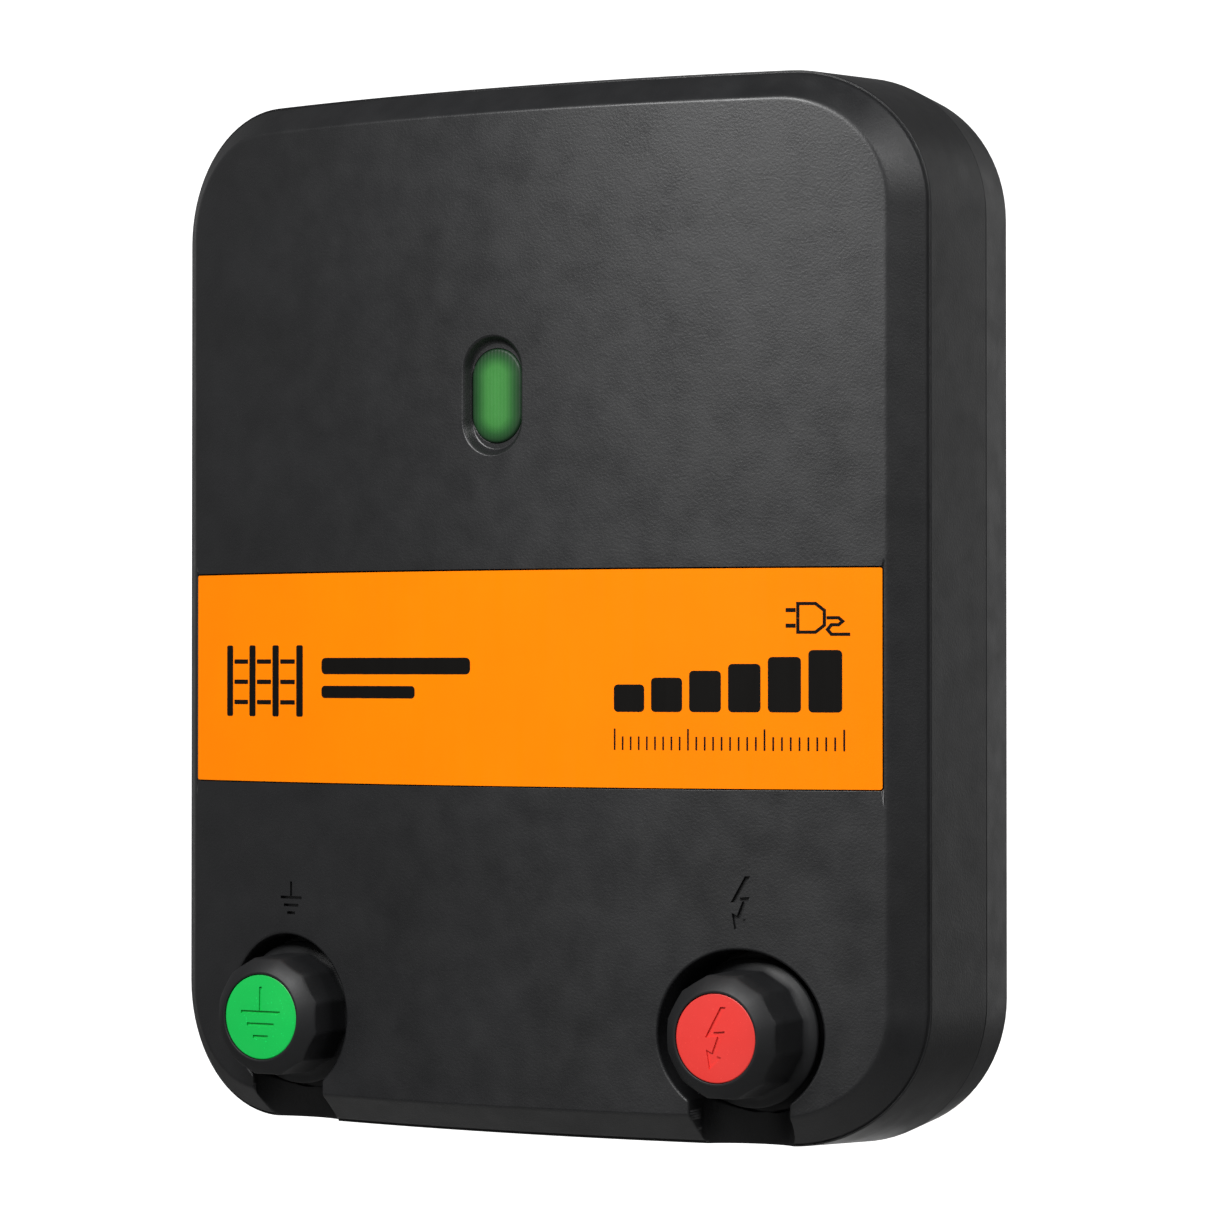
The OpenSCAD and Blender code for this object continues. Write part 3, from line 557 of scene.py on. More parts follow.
def metal(name, color, rough=0.3, direction=(1, 1, 60)):
    """Machined or rolled metal: fine parallel tool marks, tarnish and small pits."""
    paint = Paint(name, Metallic=1.0)
    marks = paint.noise(300, 3, 0.6, direction)
    tarnish = paint.noise(160, 4)
    return paint.finish(paint.ramp(tarnish, [(0.3, shade(color, 0.72)), (0.62, color)]),
                        paint.span(tarnish, 0.3, 0.7, rough + 0.12, rough - 0.06),
                        (marks, 1e-5), (paint.noise(1500, 2), 6e-6))


def wire_sleeve(name, color):
    """Extruded insulation: soft ripples along it and scuffs."""
    paint = Paint(name)
    scuff = paint.noise(260, 4)
    return paint.finish(paint.ramp(scuff, [(0.35, shade(color, 0.75)), (0.65, shade(color, 1.15))]),
                        paint.span(scuff, 0.3, 0.7, 0.42, 0.58), (paint.noise(900), 3e-5))


def windings(name, color, metallic, pitch):
    """Turns of enamelled wire or tape, laid side by side, with painted shade in the grooves between them.
    """
    paint = Paint(name, Metallic=metallic)
    turns = paint.bands(pitch)
    # Darker where the bump dips between turns: painted shade.
    return paint.finish(paint.ramp(turns, [(0.1, shade(color, 0.45)), (0.6, color)]),
                        paint.worn(200, 0.28, 0.45), (turns, 0.0002))


def grained_ceramic(name, color, rough):
    """Sintered or cemented bodies: coarse grains and chalky variation."""
    paint = Paint(name)
    grains = paint.cells(900)
    return paint.finish(paint.ramp(grains, [(0, shade(color, 0.7)), (0.6, shade(color, 1.15))]),
                        paint.worn(150, rough, rough + 0.15), (grains, 6e-5))


def laminations(name):
    """Stacked core sheets: thin parallel edges under dark varnish."""
    paint = Paint(name, Metallic=0.7)
    sheets = paint.bands(320, "Y")
    return paint.finish(paint.ramp(sheets, [(0.2, (0.05, 0.05, 0.055)), (0.7, (0.3, 0.31, 0.33))]),
                        paint.worn(300, 0.35, 0.55), (sheets, 0.0001))


def solder_mask(name):
    """A circuit board: green mask over faint copper tracks and woven glass."""
    paint = Paint(name, Coat_Weight=0.4, Coat_Roughness=0.2)
    tracks = paint.cells(140)
    return paint.finish(paint.ramp(tracks, [(0.35, (0.01, 0.09, 0.035)), (0.42, (0.025, 0.2, 0.08))]),
                        paint.worn(500, 0.3, 0.45), (tracks, 4e-5), (paint.noise(1800, 2), 1e-5))


def printed_film(name, color):
    """Printed satin film: an orange-peel surface, slight ink variation and fine scratches."""
    paint = Paint(name, Specular_IOR_Level=0.06)
    ink = paint.ramp(paint.noise(55, 4), [(0.3, shade(color, 0.97)), (0.7, shade(color, 1.02))])
    scratches = paint.noise(500, 3, 0.6, (1, 1, 0.05))
    return paint.finish(ink, paint.span(scratches, 0.35, 0.7, 0.42, 0.55), (paint.noise(450, 2), 1e-5))


def lens_with_painted_glow_and_shade(name):
    """Translucent green window: ribbed inside, with a painted glow over its middle and painted shade
    darkening its edge.
    """
    paint = Paint(name, Specular_IOR_Level=0.3)
    across = add_node(paint.tree, "SeparateXYZ", "X", {"Vector": paint.where})
    up = add_node(paint.tree, "SeparateXYZ", "Z", {"Vector": paint.where})
    rise = paint.sum("ABSOLUTE", paint.sum("SUBTRACT", up, lens_z * MM))
    straight = (lens_oval[1] - lens_oval[0]) * MM
    past_end = paint.sum("MAXIMUM", paint.sum("SUBTRACT", rise, straight))
    squares = paint.sum("ADD", paint.sum("MULTIPLY", across, across),
                        paint.sum("MULTIPLY", past_end, past_end))
    reach = paint.sum("DIVIDE", paint.sum("SQRT", squares), lens_oval[0] * MM)
    # Lighter green at the middle is a painted glow; darker green towards the rim is painted shade.
    green = paint.ramp(reach, [(0, (0.047, 0.225, 0.046)), (0.38, (0.041, 0.2, 0.04)),
                               (0.7, (0.014, 0.082, 0.018)), (0.95, (0.006, 0.026, 0.009))])
    return paint.finish(green, paint.worn(300, 0.42, 0.55), (paint.bands(330, "X"), 3e-5))


def clear_glass(name):
    """A glass tube: faintly tinted, with a few dull patches."""
    paint = Paint(name, Transmission_Weight=1.0, IOR=1.47)
    tint = paint.ramp(paint.noise(90, 2), [(0.3, (0.9, 0.94, 0.95)), (0.7, (1, 1, 1))])
    return paint.finish(tint, paint.worn(400, 0.03, 0.12))


CASE_BLACK = (0.0072, 0.0074, 0.0082)

moulded("case_front", CASE_BLACK, 0.43, 1700, 5.5e-5, 0.67)
# The rear housing's black is painted a fifth lighter than the front's: a painted highlight standing in for
# the light on its rear band.
moulded("case_rear", shade(CASE_BLACK, 1.2), 0.46, 1700, 5.5e-5, 0.67)
moulded("knob_plastic", (0.0095, 0.0098, 0.0106), 0.52, 1500, 2e-5, 0.36)
moulded("black_plastic", (0.015, 0.015, 0.016), 0.4, 1300, 2e-5)
moulded("white_plastic", (0.72, 0.7, 0.64), 0.45, 900, 2e-5, mottle=0.06)
moulded("green_plastic", (0.03, 0.26, 0.09), 0.4, 900, 2e-5, mottle=0.1)
moulded("rubber", (0.02, 0.02, 0.02), 0.75, 800, 4e-5)
moulded("red_disc", (0.76, 0.042, 0.034), 0.42, 1300, 1e-5, mottle=0.05)
moulded("green_disc", (0.004, 0.50, 0.078), 0.42, 1300, 1e-5, mottle=0.05)
moulded("varistor_body", (0.03, 0.1, 0.42), 0.3, 600, 3e-5, mottle=0.1)
moulded("film_capacitor", (0.66, 0.42, 0.03), 0.3, 900, 2e-5, mottle=0.08)
moulded("can_sleeve", (0.012, 0.02, 0.09), 0.3, 500, 3e-5)
moulded("led", (0.12, 0.62, 0.16), 0.3, 900, 1e-5, mottle=0.1)
printed_film("label", (1.0, 0.225, 0.0006))
printed_film("label_ink", (0.006, 0.0055, 0.005))
lens_with_painted_glow_and_shade("lens")
metal("steel", (0.58, 0.58, 0.6), 0.32)
metal("stainless", (0.62, 0.61, 0.59), 0.25, (60, 1, 1))
metal("aluminium", (0.78, 0.79, 0.8), 0.35, (1, 60, 1))
metal("brass", (0.72, 0.52, 0.2), 0.28, (1, 60, 1))
metal("tinned_brass", (0.68, 0.66, 0.6), 0.35)
laminations("core_steel")
windings("copper", (0.72, 0.3, 0.1), 0.9, 420)
windings("winding_tape", (0.8, 0.62, 0.06), 0.0, 90)
windings("capacitor_sleeve", (0.66, 0.48, 0.07), 0.0, 60)
grained_ceramic("ferrite", (0.045, 0.045, 0.05), 0.5)
grained_ceramic("resistor_body", (0.68, 0.64, 0.54), 0.75)
solder_mask("board")
clear_glass("fuse_glass")
wire_sleeve("brown_wire", (0.16, 0.06, 0.02))
wire_sleeve("yellow_wire", (0.7, 0.52, 0.03))
wire_sleeve("red_wire", (0.55, 0.025, 0.015))
wire_sleeve("green_wire", (0.015, 0.25, 0.05))


def dress(piece, body, slot, material=None):
    """Gives a new piece its body and its material, found by its slot's name unless a material is named."""
    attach(piece, body)
    piece.data.materials.clear()
    piece.data.materials.append(MATERIALS[material or slot])


def stand_in(piece, node, body, slot):
    """Dresses a piece and hides the CAD node that it replaces."""
    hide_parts(node)
    dress(piece, body, slot)


# ---- the front cover ----

groove_place = 0.5
groove_half_width = 0.26
groove_depth = 0.6
brow_radius = 0.35
brow_share = 0.6
lip_radius = 0.2
symbol_sink = 1.0
FACE_SYMBOLS = (bolt_shapes(terminal_x + 0.4, -68.4, 12.5) +
                earth_shapes(-terminal_x + 1.5, -70.6, 8.5, 0.7))


def body_depth(x, z):
    """The front's face and bevel, before anything is cut into them."""
    inset, nx, _ = edge_distance(x, z, half_width, half_height, corner_radius)
    face = crown_y + sag(x, face_curve)
    if inset > bevel_reach:
        return face
    foot = shoulder_y + sag(x + nx * inset, shoulder_curve)
    edge = crown_y + sag(x - nx * (bevel_width - inset), face_curve)
    depth = smooth_max(face, mix(foot, edge, inset / bevel_width), soft_edge)
    groove = groove_depth * max(0, 1 - abs(inset - groove_place) / groove_half_width)
    brow = brow_share * round_over(inset - groove_place - groove_half_width, brow_radius)
    if inset < groove_place:
        brow = 0
    return depth + max(groove, brow) + round_over(inset, lip_radius)


def pocket_depth(x, z, depth):
    """The round pocket about a terminal, with a rounded rim and a small fillet at its floor."""
    rho = terminal_distance(x, z)
    rim = depth + round_over(rho - pocket_radius, pocket_fillet)
    if rho >= pocket_radius:
        return rim
    inner = pocket_radius - pocket_draft
    floor = pocket_floor_y - round_over(inner - rho, pocket_floor_fillet)
    if rho > inner:
        return mix(floor, rim, (rho - inner) / pocket_draft)
    return floor


def channel_depth(x, z, depth):
    """The wire channel below a terminal: a half-round trough with upright sides."""
    if z > terminal_z:
        return depth
    across = abs(abs(x) - terminal_x)
    upright = limited((channel_axis_y + 2 - depth) / 4)
    depth += upright * round_over(across - channel_radius, channel_fillet)
    inner = channel_radius - channel_draft
    trough = channel_axis_y + sqrt(channel_radius ** 2 - min(across, inner) ** 2)
    if across > inner:
        trough -= (across - inner) / channel_draft * channel_rise
    if across > channel_radius + 0.2:
        return depth
    return smooth_max(depth, trough, 0.5) if upright < 0.4 else max(depth, trough)


def recess_depth(x, z, depth):
    """The oval recess round the indicator, with sloping soft sides."""
    inside = oval_distance(x, z, recess_oval)
    t = limited((inside + recess_lead) / recess_slope)
    return depth + (recess_floor_y - crown_y) * t * t * (3 - 2 * t)


def label_recess(x, z, depth):
    """The shallow step that holds the label film."""
    inside = label_gap + min(label_half_width - abs(x), label_top - z, z - label_bottom)
    return depth + label_thickness * limited(inside / label_edge + 1)


def front_depth(x, z):
    """The whole visible front."""
    depth = body_depth(x, z)
    if z > label_top + label_clear:
        return recess_depth(x, z, depth)
    if z > label_bottom - label_clear:
        return label_recess(x, z, depth)
    return channel_depth(x, z, pocket_depth(x, z, depth))


def inner_depth(x, z):
    """The cover's inner skin: the front moved back by the wall, and the walls of what is cut."""
    bevel = mix(shoulder_y + 2, crown_y + wall, limited((case_inset(x, z) - wall) / 6))
    depth = bevel + sag(x, face_curve)
    if oval_distance(x, z, flange_oval, 0.1) > 0:
        return flange_front_y - 0.1
    pad = oval_distance(x, z, flange_oval, 3)
    if pad > -0.5:
        depth = mix(depth, lens_high.y + 0.3, min(1, (pad + 0.5) / 0.5))
    outside = terminal_distance(x, z) - pocket_radius - pocket_wall
    if outside < 0.3:
        depth = mix(pocket_floor_y + wall, depth, max(0, outside / 0.3))
    across = abs(abs(x) - terminal_x)
    radius = channel_radius + channel_wall
    if z < terminal_z and across < radius:
        depth = max(depth, channel_axis_y + sqrt(radius * radius - across * across))
    return depth


def grid(step_x, step_z, keep):
    columns = int(half_width / step_x)
    rows = int(half_height / step_z)
    return [(i * step_x, j * step_z) for i in range(-columns, columns + 1)
            for j in range(-rows, rows + 1) if keep(i * step_x, j * step_z)]


def channel_lines(end_z, steps):
    """Upright lines across both channels, from the terminals down."""
    lines = []
    for side in (-1, 1):
        for step in steps:
            for hand in (-1, 1) if step else (1,):
                x = side * terminal_x + hand * step
                lines.append([(x, mix(terminal_z, end_z, i / 40)) for i in range(41)])
    return lines


def terminal_rings(radii, steps):
    return [circle_loop(side * terminal_x, terminal_z, radius, steps)
            for side in (-1, 1) for radius in radii]


def notch(points, depth, rim, foot):
    """The top of the side wall: the skin's own edge, drawn down where a channel cuts the wall."""
    top = []
    for (x, z), (_, rim_y, rim_z) in zip(points, rim):
        y = depth(x, z)
        start = foot + sag(x, shoulder_curve) + 0.25
        t = limited((y - start) / (rim_y - start))
        top.append((x, y, mix(z, rim_z, t)))
    return top


def outside_window(x, z):
    return oval_distance(x, z, lens_oval, window_gap) < 0


def outer_skin(shell, hole):
    """The visible front. Returns the numbers of its edge and of its window."""
    insets = [0, 0.015, 0.05, 0.11, 0.2, 0.37, 0.5, 0.63, 0.76, 0.85, 1, 1.2, 3.8]
    insets += [bevel_width + grow for grow in (-0.8, -0.45, -0.15, 0.15, 0.5, 0.9)]
    loops = [inset_outline(inset) for inset in insets]
    rims = [pocket_radius + grow for grow in (-1, -0.7, -0.45, -pocket_draft, 0, 0.06, 0.2, 0.45,
                                              pocket_fillet)]
    loops += terminal_rings([8, 13, 17] + rims, 96)
    loops += [oval_loop(recess_oval, grow, window_steps)
              for grow in (0.75, 0.5, 0.2, -0.1, -0.45, -0.8, -1.25)]
    hole_start = sum(len(loop) for loop in loops)
    loops.append(hole)
    for grow in (label_gap + 0.12, label_gap):
        loops.append(box_loop(-label_half_width - grow, label_bottom - grow,
                              label_half_width + grow, label_top + grow, 0.6, 3.5))
    steps = [0, 1.5, 3, 4.5, 6, 7.3, 8.5, 9.5, 10.1, 10.5, 10.8, 11, 11.15, 11.3, 11.42, 11.54,
             11.65, 11.8, 11.87, 12, 12.2, 12.4]
    flat, triangles, place = triangulate(
        loops + FACE_SYMBOLS, grid(4, 6, lambda x, z: case_inset(x, z) > bevel_reach),
        outside_window, channel_lines(-half_height + 0.9, steps))
    numbers = shell.pressed_sheet(flat, triangles, front_depth, FACE_SYMBOLS, symbol_sink)
    return picked(numbers, place, 0, len(WALK)), picked(numbers, place, hole_start, len(hole))


def inner_skin(shell, hole):
    """The inside of the front. Returns the numbers of its edge and of its window."""
    loops = [inset_outline(wall), inset_outline(wall + 6)]
    loops += terminal_rings([pocket_radius + pocket_wall, pocket_radius + pocket_wall + 0.3], 48)
    loops += [oval_loop(flange_oval, grow) for grow in (0.05, 0.25, 3, 3.5)]
    hole_start = sum(len(loop) for loop in loops)
    flat, triangles, place = triangulate(
        loops + [hole], grid(8, 12, lambda x, z: case_inset(x, z) > wall + 8),
        lambda x, z: outside_window(x, z) and case_inset(x, z) > wall,
        channel_lines(-half_height + wall + 0.5, [0, 4, 8, 11, 13, 14.2, 14.3]))
    numbers = shell.sheet(flat, triangles, inner_depth, True)
    return picked(numbers, place, 0, len(WALK)), picked(numbers, place, hole_start, len(hole))


def front_cover():
    """The outer skin, its side wall back to the parting line, and the inner skin."""
    shell = Shell()
    hole = oval_loop(lens_oval, window_gap, window_steps)
    edge, outer_hole = outer_skin(shell, hole)
    rim = rim_ring(0, part_y - 0.35)
    top = notch(inset_outline(0), front_depth, rim, shoulder_y)
    for number, point, (_, _, nx, nz) in zip(edge, top, WALK):
        shell.points[number] = point
        shell.normals[number] = Vector((nx, -0.15, nz)).normalized()
    side = shell.band(top, outward(-0.045), rim, 6, True)[1]
    chamfer = shell.ring(rim_ring(0.1, part_y - 0.1), outward(0.6))
    lip = shell.ring(rim_ring(0.35, part_y - 0.03), outward(2))
    shell.join(side, chamfer, True)
    shell.join(chamfer, lip, True)
    inner_edge, inner_hole = inner_skin(shell, hole)
    rim = rim_ring(wall, part_y - 0.03, rim_radius - wall)
    top = notch(inset_outline(wall), inner_depth, rim, shoulder_y + 2)
    for number, point in zip(inner_edge, top):
        shell.points[number] = point
    inner_side = shell.band(top, outward(0, -1), rim, 3, False)[1]
    shell.join(lip, inner_side, True)
    shell.join(outer_hole, inner_hole)
    stand_in(shell.finish("front_cover_shell"), "front_cover", "case", "case_front")


# ---- the rear housing ----

corner_screw_x = 86
corner_screw_z = 108
side_screw_x = 97.2
side_screw_z = -14
SCREW_PLACES = [(side * corner_screw_x, end * corner_screw_z) for side in (-1, 1) for end in (-1, 1)]
SCREW_PLACES += [(-side_screw_x, side_screw_z), (side_screw_x, side_screw_z)]
screw_well_radius = 4.2
screw_well_y = box_mm("cover_screws")[1].y - 2.8
keyhole_x = 60
keyhole_z = 80
keyhole_top = keyhole_z + 12
keyhole_entry = 4.6
keyhole_slot = 2.5
keyhole_chamber = 5
chamber_y = -8.5
opening_edge = 0.25
back_edge = 0.5


def chamber_loop(cx):
    """A keyhole's chamber: an upright capsule."""
    loop = []
    for turn, middle, next_middle in ((0, keyhole_top, keyhole_z), (pi, keyhole_z, keyhole_top)):
        for i in range(13):
            angle = turn + pi * i / 12
            loop.append((cx + keyhole_chamber * cos(angle), middle + keyhole_chamber * sin(angle)))
        x = loop[-1][0]
        loop += [(x, mix(middle, next_middle, i / 6)) for i in range(1, 6)]
    return loop


def keyhole_loop(cx, grow=0):
    """A keyhole: a round entry below a narrow slot, point for point with its chamber."""
    entry = keyhole_entry + grow
    slot = keyhole_slot + grow
    shoulder = keyhole_z + sqrt(entry * entry - slot * slot)
    loop = []
    for x, z in chamber_loop(cx):
        if shoulder < z <= keyhole_top:
            loop.append((cx + copysign(slot, x - cx), z))
            continue
        radius, middle = (slot, keyhole_top) if z > keyhole_top else (entry, keyhole_z)
        reach = hypot(x - cx, z - middle)
        loop.append((cx + radius * (x - cx) / reach, middle + radius * (z - middle) / reach))
    return loop


def solid_back(x, z):
    """Whether a place on the flat back is clear of the screw wells and the keyholes."""
    wells = [hypot(x - cx, z - cz) < screw_well_radius + 0.2 for cx, cz in SCREW_PLACES]
    off = abs(abs(x) - keyhole_x)
    entry = hypot(off, z - keyhole_z) < keyhole_entry + 0.2
    slot = off < keyhole_slot + 0.2 and keyhole_z < z < keyhole_top
    end = hypot(off, z - keyhole_top) < keyhole_slot + 0.2
    return not (any(wells) or entry or slot or end)


def back_ring(drop, y):
    """The rear's outline near the wall."""
    return rim_ring(rear_taper + drop, y, rim_radius - rear_taper - drop)


def roomy_back(x, z):
    outline_size = (rim_half_width - rear_taper, rim_half_height - rear_taper, rim_radius - rear_taper)
    return edge_distance(x, z, *outline_size)[0] > 6


def wall_face(shell, edge):
    """The flat back inside its edge, with the keyholes and the screw wells sunk into it."""
    openings = [(keyhole_loop(cx, opening_edge), [
        (keyhole_loop(cx), -opening_edge), (keyhole_loop(cx), -wall),
        (chamber_loop(cx), -wall), (chamber_loop(cx), chamber_y)]) for cx in (-keyhole_x, keyhole_x)]
    for x, z in SCREW_PLACES:
        well = circle_loop(x, z, screw_well_radius, 32)
        openings.append((circle_loop(x, z, screw_well_radius + opening_edge, 32),
                         [(well, -opening_edge), (well, screw_well_y)]))
    boundary = [(shell.points[i][0], shell.points[i][2]) for i in edge]
    flat, triangles, place = triangulate([boundary] + [opening for opening, _ in openings],
                                         grid(18, 20, roomy_back), solid_back)
    numbers = {place[i]: number for i, number in enumerate(edge)}
    for i in sorted({i for tri in triangles for i in tri} - set(numbers)):
        numbers[i] = shell.add((flat[i][0], 0, flat[i][1]), (0, 1, 0))
    shell.faces += [[numbers[i] for i in reversed(tri)] for tri in triangles]
    cursor = len(edge)
    for opening, profile in openings:
        hollow(shell, picked(numbers, place, cursor, len(opening)), profile)
        cursor += len(opening)


def hollow(shell, ring, profile):
    """A recess below an opening: walls down its profile of loops, and a floor."""
    for points, y in profile:
        middle_x, middle_z = middle_of(points)
        normals = [(middle_x - x, 0, middle_z - z) for x, z in points]
        below = shell.ring([(x, y, z) for x, z in points], normals)
        shell.join(ring, below)
        ring = below
    floor = shell.ring([shell.points[i] for i in ring], [(0, 1, 0)] * len(ring))
    shell.join(ring, floor)
    shell.fan(floor, (middle_x, y, middle_z), (0, 1, 0))


def rear_housing():
    """The side wall from the parting line, a rounded back edge, the flat back and the inside."""
    shell = Shell()
    lip = shell.ring(rim_ring(0.35, part_y + 0.03), outward(-2))
    chamfer = shell.ring(rim_ring(0.1, part_y + 0.1), outward(-0.6))
    shell.join(lip, chamfer, True)
    start, edge = shell.band(rim_ring(0.04, part_y + 0.35), outward(0.1),
                             back_ring(-0.05, -back_edge), 4, True)
    shell.join(chamfer, start, True)
    for i in range(1, 6):
        angle = radians(18 * i)
        drop = back_edge * (1 - cos(angle))
        ring = shell.ring(back_ring(drop, -back_edge + back_edge * sin(angle)),
                          outward(sin(angle), cos(angle)))
        shell.join(edge, ring, True)
        edge = ring
    wall_face(shell, edge)
    inner_lip, inner_back = shell.band(rim_ring(wall, part_y + 0.03, rim_radius - wall), outward(0, -1),
                                       back_ring(wall, -wall), 1, False)
    shell.join(lip, inner_lip)
    shell.fan(inner_back, (0, -wall, 0), (0, -1, 0))
    stand_in(shell.finish("rear_housing_shell"), "rear_housing", "case", "case_rear")


# ---- terminals: knobs and discs ----

def facet_shape(angle):
    """How far out a soft twelve-sided grip reaches at an angle, against its flats."""
    sector = 2 * pi / grip_facets
    across = (angle + sector / 2) % sector - sector / 2
    return min(1 / cos(across), grip_reach)


def knob_profile():
    """Rows of radius, depth and facet share: the disc's seat, the grip, the skirt and the back."""
    bore = 6
    recess = 10
    recess_depth_y = knob_back_y - 1.5
    web_y = disc_back_y + 1.4
    groups = (
        (disc_radius, ((0, 0.12, 0), (0.05, 0.03, 0), (0.15, 0, 0), (0.5, 0, 0), (0.7, 0.06, 0))),
        (grip_apothem, ((-0.55, 2.35, 1), (-0.25, 2.65, 1), (-0.06, 2.95, 1), (0, 3.4, 1), (0.12, 7.5, 1),
                        (0.25, 12, 1), (0.3, 15.3, 1), (0.4, 15.9, 0.8), (0.7, 16.3, 0.5))),
        (skirt_radius, ((-1.6, 16.95, 0.15), (-0.4, 17.5, 0), (-0.1, 17.8, 0), (0, 18.2, 0))))
    seat = [(radius, disc_back_y, 0) for radius in (0.001, disc_radius - 0.4, disc_radius, disc_radius)]
    outside = [(radius + grow, knob_front_y + back, facet)
               for radius, rows in groups for grow, back, facet in rows]
    foot = [(skirt_radius - 0.1, knob_back_y - 0.1, 0), (skirt_radius - 0.3, knob_back_y, 0)]
    hollow_back = [(recess, knob_back_y, 0), (recess, recess_depth_y, 0), (bore, recess_depth_y, 0),
                   (bore, web_y, 0), (0.001, web_y, 0)]
    return seat + outside + foot + hollow_back


def knob(name, side, node, body):
    """A screw knob: bevelled front, soft flats on the grip, a flared skirt and a bored back."""
    segments = 144
    slope = 0.85
    shell = Shell()
    rings = []
    for radius, y, facet in knob_profile():
        points = []
        for i in range(segments):
            angle = 2 * pi * i / segments
            reach = radius * (1 + facet * (facet_shape(angle) - 1))
            lean = slope * (reach - radius) if y < knob_front_y + 3 else 0
            points.append((side * terminal_x + reach * cos(angle), y + lean,
                           terminal_z + reach * sin(angle)))
        rings.append(shell.ring(points, points))
    for first, second in zip(rings, rings[1:]):
        shell.join(first, second, True)
    shell.faces += [rings[0], rings[-1][::-1]]
    piece = build(name, shell.points, shell.faces)
    piece.data.set_sharp_from_angle(angle=radians(50))
    stand_in(piece, node, body, "knob_plastic")


def sunk_disc(name, side, shapes, node, body, slot):
    """A coloured disc with a slightly domed face, a rounded rim and a symbol pressed into it."""
    cx = side * terminal_x
    radius = disc_radius - 0.06
    sink = 0.5
    front = knob_front_y + 0.08
    back_y = disc_back_y - 0.02

    def dome(x, z):
        rho = hypot(x - cx, z - terminal_z)
        return front + 0.25 * (rho / radius) ** 2 + round_over(radius - rho, 0.3)

    loops = [circle_loop(cx, terminal_z, radius * f, 96) for f in (1, 0.988, 0.965, 0.93, 0.7, 0.4)]
    flat, triangles, place = triangulate(loops + shapes, [], lambda x, z: True)
    shell = Shell()
    upper = shell.pressed_sheet(flat, triangles, dome, shapes, sink)
    back = shell.ring([(x, back_y, z) for x, z in loops[0]],
                      [(x - cx, 0, z - terminal_z) for x, z in loops[0]])
    shell.join(picked(upper, place, 0, len(loops[0])), back, True)
    shell.fan(back[::-1], (cx, back_y, terminal_z), (0, 1, 0))
    stand_in(shell.finish(name), node, body, slot)


# ---- lens, label and printed marks ----

def lens():
    """The indicator window: a low dome on a flange that sits behind the cover."""
    edge_radius = 0.7
    edge_y = lens_front_y + 0.9
    rows = [(flange_oval, 0, lens_high.y), (flange_oval, 0, flange_front_y),
            (lens_oval, 0, flange_front_y), (lens_oval, 0, edge_y)]
    for i in range(1, 6):
        angle = radians(18 * i)
        rows.append((lens_oval, -edge_radius * (1 - cos(angle)), edge_y - edge_radius * sin(angle)))
    half_w, half_h = lens_oval
    for f in (0.8, 0.6, 0.4, 0.2):
        rows.append(((half_w, half_h - 0.05), -half_w * (1 - f), lens_front_y + 0.2 * f * f))
    shell = Shell()
    rings = []
    for oval, grow, y in rows:
        points = [(x, y, z) for x, z in oval_loop(oval, grow, window_steps)]
        rings.append(shell.ring(points, points))
    for first, second in zip(rings, rings[1:]):
        shell.join(first, second)
    shell.faces += [rings[-1], rings[0][::-1]]
    stand_in(build("indicator_window", shell.points, shell.faces), "indicator_lens", "case", "lens")


def decal(name, shapes, lift, thickness, step):
    """Thin flat shapes laid on the curved front, each closed, at a lift above its surface."""
    shell = Shell()

    def surface(x, z):
        return crown_y + sag(x, face_curve) - lift

    for shape in shapes:
        low_x, high_x = min(p[0] for p in shape), max(p[0] for p in shape)
        low_z, high_z = min(p[1] for p in shape), max(p[1] for p in shape)
        columns = int((high_x - low_x) / step)
        extra = [(low_x + step * i, mix(low_z, high_z, j / 4))
                 for i in range(1, columns) for j in range(1, 4)]
        flat, triangles, place = triangulate([shape], extra, lambda x, z: inside_shape(x, z, shape))
        front = shell.sheet(flat, triangles, surface)
        back = shell.sheet(flat, triangles, lambda x, z: surface(x, z) + thickness, True)
        count = len(shape)
        shell.join(picked(front, place, 0, count), picked(back, place, 0, count), True)
    return shell.finish(name)


def label():
    """The label film, flush in its shallow recess."""
    film = box_loop(-label_half_width, label_bottom, label_half_width, label_top, 0.5, 3.5)
    stand_in(decal("label_band", [film], 0, label_thickness - 0.03, 4), "label", "case", "label")


def bar(x, z, width, height, radius=0.6):
    return box_loop(x, z, x + width, z + height, min(radius, height / 2.02), 6)


def fence_pictogram():
    """Four posts and three rows of rails."""
    left, pitch, post_width, rail_height = -84, 8.2, 2.2, 1.1
    posts = [bar(left + pitch * i, -26, post_width, 17.5, 0.5) for i in range(4)]
    rails = [bar(left + pitch * i + post_width + 0.5, z - rail_height / 2, 5, rail_height, 0.2)
             for z in (-12.5, -17.5, -22.5) for i in range(3)]
    return posts + rails


def level_gauge():
    """Six rising bars above a scale of ticks, with every ninth tick taller."""
    left, bar_pitch, tick_pitch = 32.3, 9.3, 2.012
    bars = [bar(left + bar_pitch * i, -24.3, 7.6, 6.4 + 1.6 * i, 1) for i in range(6)]
    ticks = [bar(left + tick_pitch * i, -33.2, 0.42, 3.2 if i % 9 else 5, 0.1) for i in range(28)]
    return bars + ticks


def plug_outline():
    """A mains plug: its body, two pins and a curling lead."""
    pen = 0.75
    body = [(76.4, -2.5), (76.4, 0.8), (80.4, 0.8), (82.4, -0.8), (82.4, -4.2), (80.4, -5.8), (76.4, -5.8),
            (76.4, -2.56)]
    lead = [(82.9, -2.5), (85.6, -2.5), (86.5, -3.3), (85.6, -4.1), (84, -4.1), (83.1, -5.2), (84, -6.3),
            (88.2, -6.3)]
    pins = [stroke([(73.6, z), (75.9, z)], 0.95) for z in (-0.7, -4.3)]
    return [stroke(body, pen)] + pins + [stroke(lead, pen)]


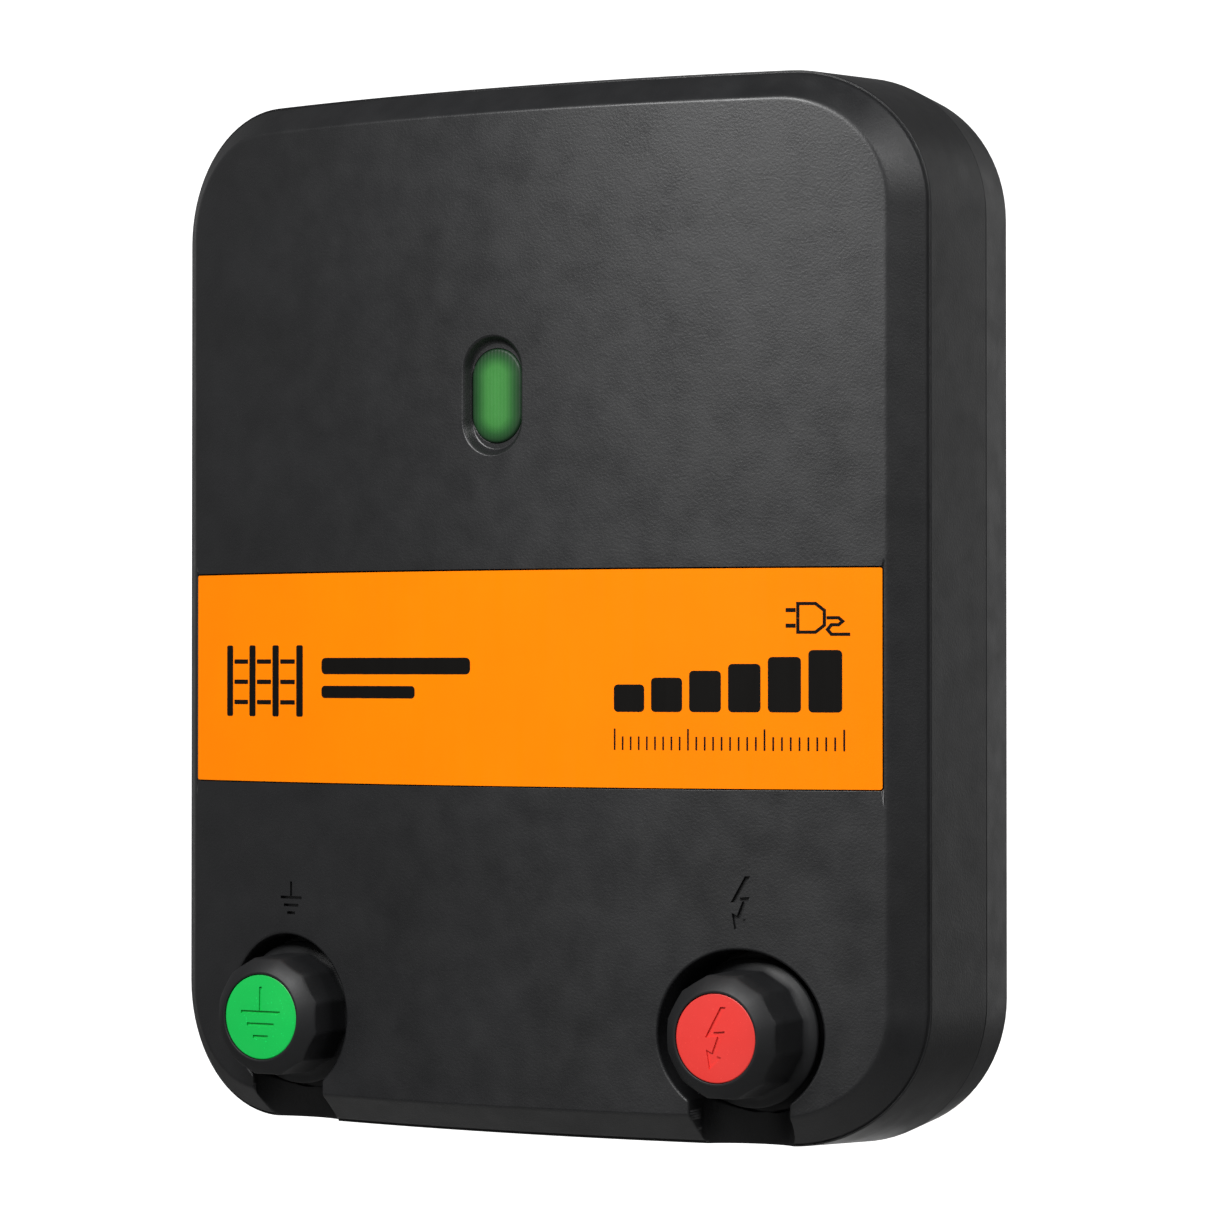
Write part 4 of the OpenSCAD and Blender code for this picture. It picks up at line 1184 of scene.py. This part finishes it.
def label_marks():
    """The printed marks: a fence pictogram and two stripes, a level gauge and a plug."""
    stripes = [bar(-51, -15.6, 45, 4, 1.2), bar(-51, -21.4, 29, 3, 1)]
    shapes = fence_pictogram() + stripes + level_gauge() + plug_outline()
    dress(decal("label_print", shapes, 0.03, 0.05, 6), "case", "label", "label_ink")


# ---- everything together ----

front_cover()
rear_housing()
lens()
label()
label_marks()
for terminal, side, color, shapes in (
        ("fence", 1, "red_disc", bolt_shapes(terminal_x, terminal_z, 14.5)),
        ("earth", -1, "green_disc", earth_shapes(-terminal_x, terminal_z + 0.6, 13.5, 0.8))):
    knob(terminal + "_knob_body", side, terminal + "_knob", terminal + "_grip")
    sunk_disc(terminal + "_disc_face", side, shapes, terminal + "_disc", terminal + "_grip", color)

for part in frame["record"]["subparts"]:
    node = frame["nodes"][part["node"]]
    material = MATERIALS[part["material_slot"]]
    if not node.material_slots:
        node.data.materials.append(material)
    for slot in node.material_slots:
        slot.link = "OBJECT"
        slot.material = material


# ---- stage, light and camera, in metres ----

floor_z = -1.2
floor_half_size = 12
camera_azimuth = radians(29.6)
backdrop_distance = 2.6
backdrop_half_width = 0.64
backdrop_top = 0.65


def plain_surface(name, tone, glow=0.0):
    """Smooth painted board, almost one tone."""
    paint = Paint(name, Specular_IOR_Level=0.2, Emission_Strength=glow, Emission_Color=(1, 1, 1, 1))
    color = paint.ramp(paint.noise(3), [(0.3, (tone, tone, tone)), (0.7, (tone, tone, tone * 0.995))])
    return paint.finish(color, paint.worn(20, 0.75, 0.85), (paint.noise(60), 0.0002))


def stage_plane(name, corners, tone, glow=0.0):
    mesh = bpy.data.meshes.new(name)
    mesh.from_pydata(corners, [], [[0, 1, 2, 3]])
    plane = add_object(name, mesh)
    plane.data.materials.append(plain_surface(name, tone, glow))


def studio():
    """A wide pale floor well below, and a lit white backdrop behind the object."""
    size = floor_half_size
    stage_plane("studio_floor", [(x, y, floor_z) for x, y in (
        (-size, -size), (size, -size), (size, size), (-size, size))], 0.62)
    away = Vector((-sin(camera_azimuth), cos(camera_azimuth), 0)) * backdrop_distance
    across = Vector((cos(camera_azimuth), sin(camera_azimuth), 0)) * backdrop_half_width
    left, right = away - across, away + across
    stage_plane("studio_backdrop", [(place.x, place.y, z) for place, z in (
        (left, floor_z), (right, floor_z), (right, backdrop_top), (left, backdrop_top))], 0.9, 1.0)


def world_light():
    """Even light from all round, dimmer overhead."""
    world = bpy.data.worlds.new("studio")
    scene.world = world
    world.use_nodes = True
    tree = world.node_tree
    background = tree.nodes["Background"]
    background.inputs["Color"].default_value = (1, 1, 1, 1)
    toward = add_node(tree, "TexCoord", "Generated", {})
    height = add_node(tree, "SeparateXYZ", "Z", {"Vector": toward})
    tree.links.new(map_range(tree, height, 0.2, 0.75, 0.22, 0.07), background.inputs["Strength"])


def softbox(name, place, target, width, height, power):
    light = bpy.data.lights.new(name, "AREA")
    light.shape = "RECTANGLE"
    light.size = width
    light.size_y = height
    light.energy = power
    lamp = add_object(name, light)
    lamp.location = place
    lamp.rotation_euler = (Vector(target) - Vector(place)).to_track_quat("-Z", "Y").to_euler()


def camera():
    """The camera at the photograph's viewing angle."""
    lens_data = bpy.data.cameras.new("camera")
    lens_data.lens = 130.9
    lens_data.sensor_width = 36
    view = add_object("camera", lens_data)
    view.location = (0.5405, -0.9614, -0.0136)
    view.rotation_euler = (radians(90.766), 0, camera_azimuth)
    scene.camera = view


studio()
world_light()
softbox("key", (0.05, -1.0, 0.74), (0.03, 0, 0.03), 0.75, 0.42, 21)
softbox("side", (1.2, -0.25, 0.8), (0.1, 0, 0.05), 0.5, 0.5, 4.5)
softbox("rim", (0.62, 1.66, 0.2), (0.1, 0, 0), 0.6, 1.3, 1.5)
camera()
scene.view_settings.view_transform = "Standard"
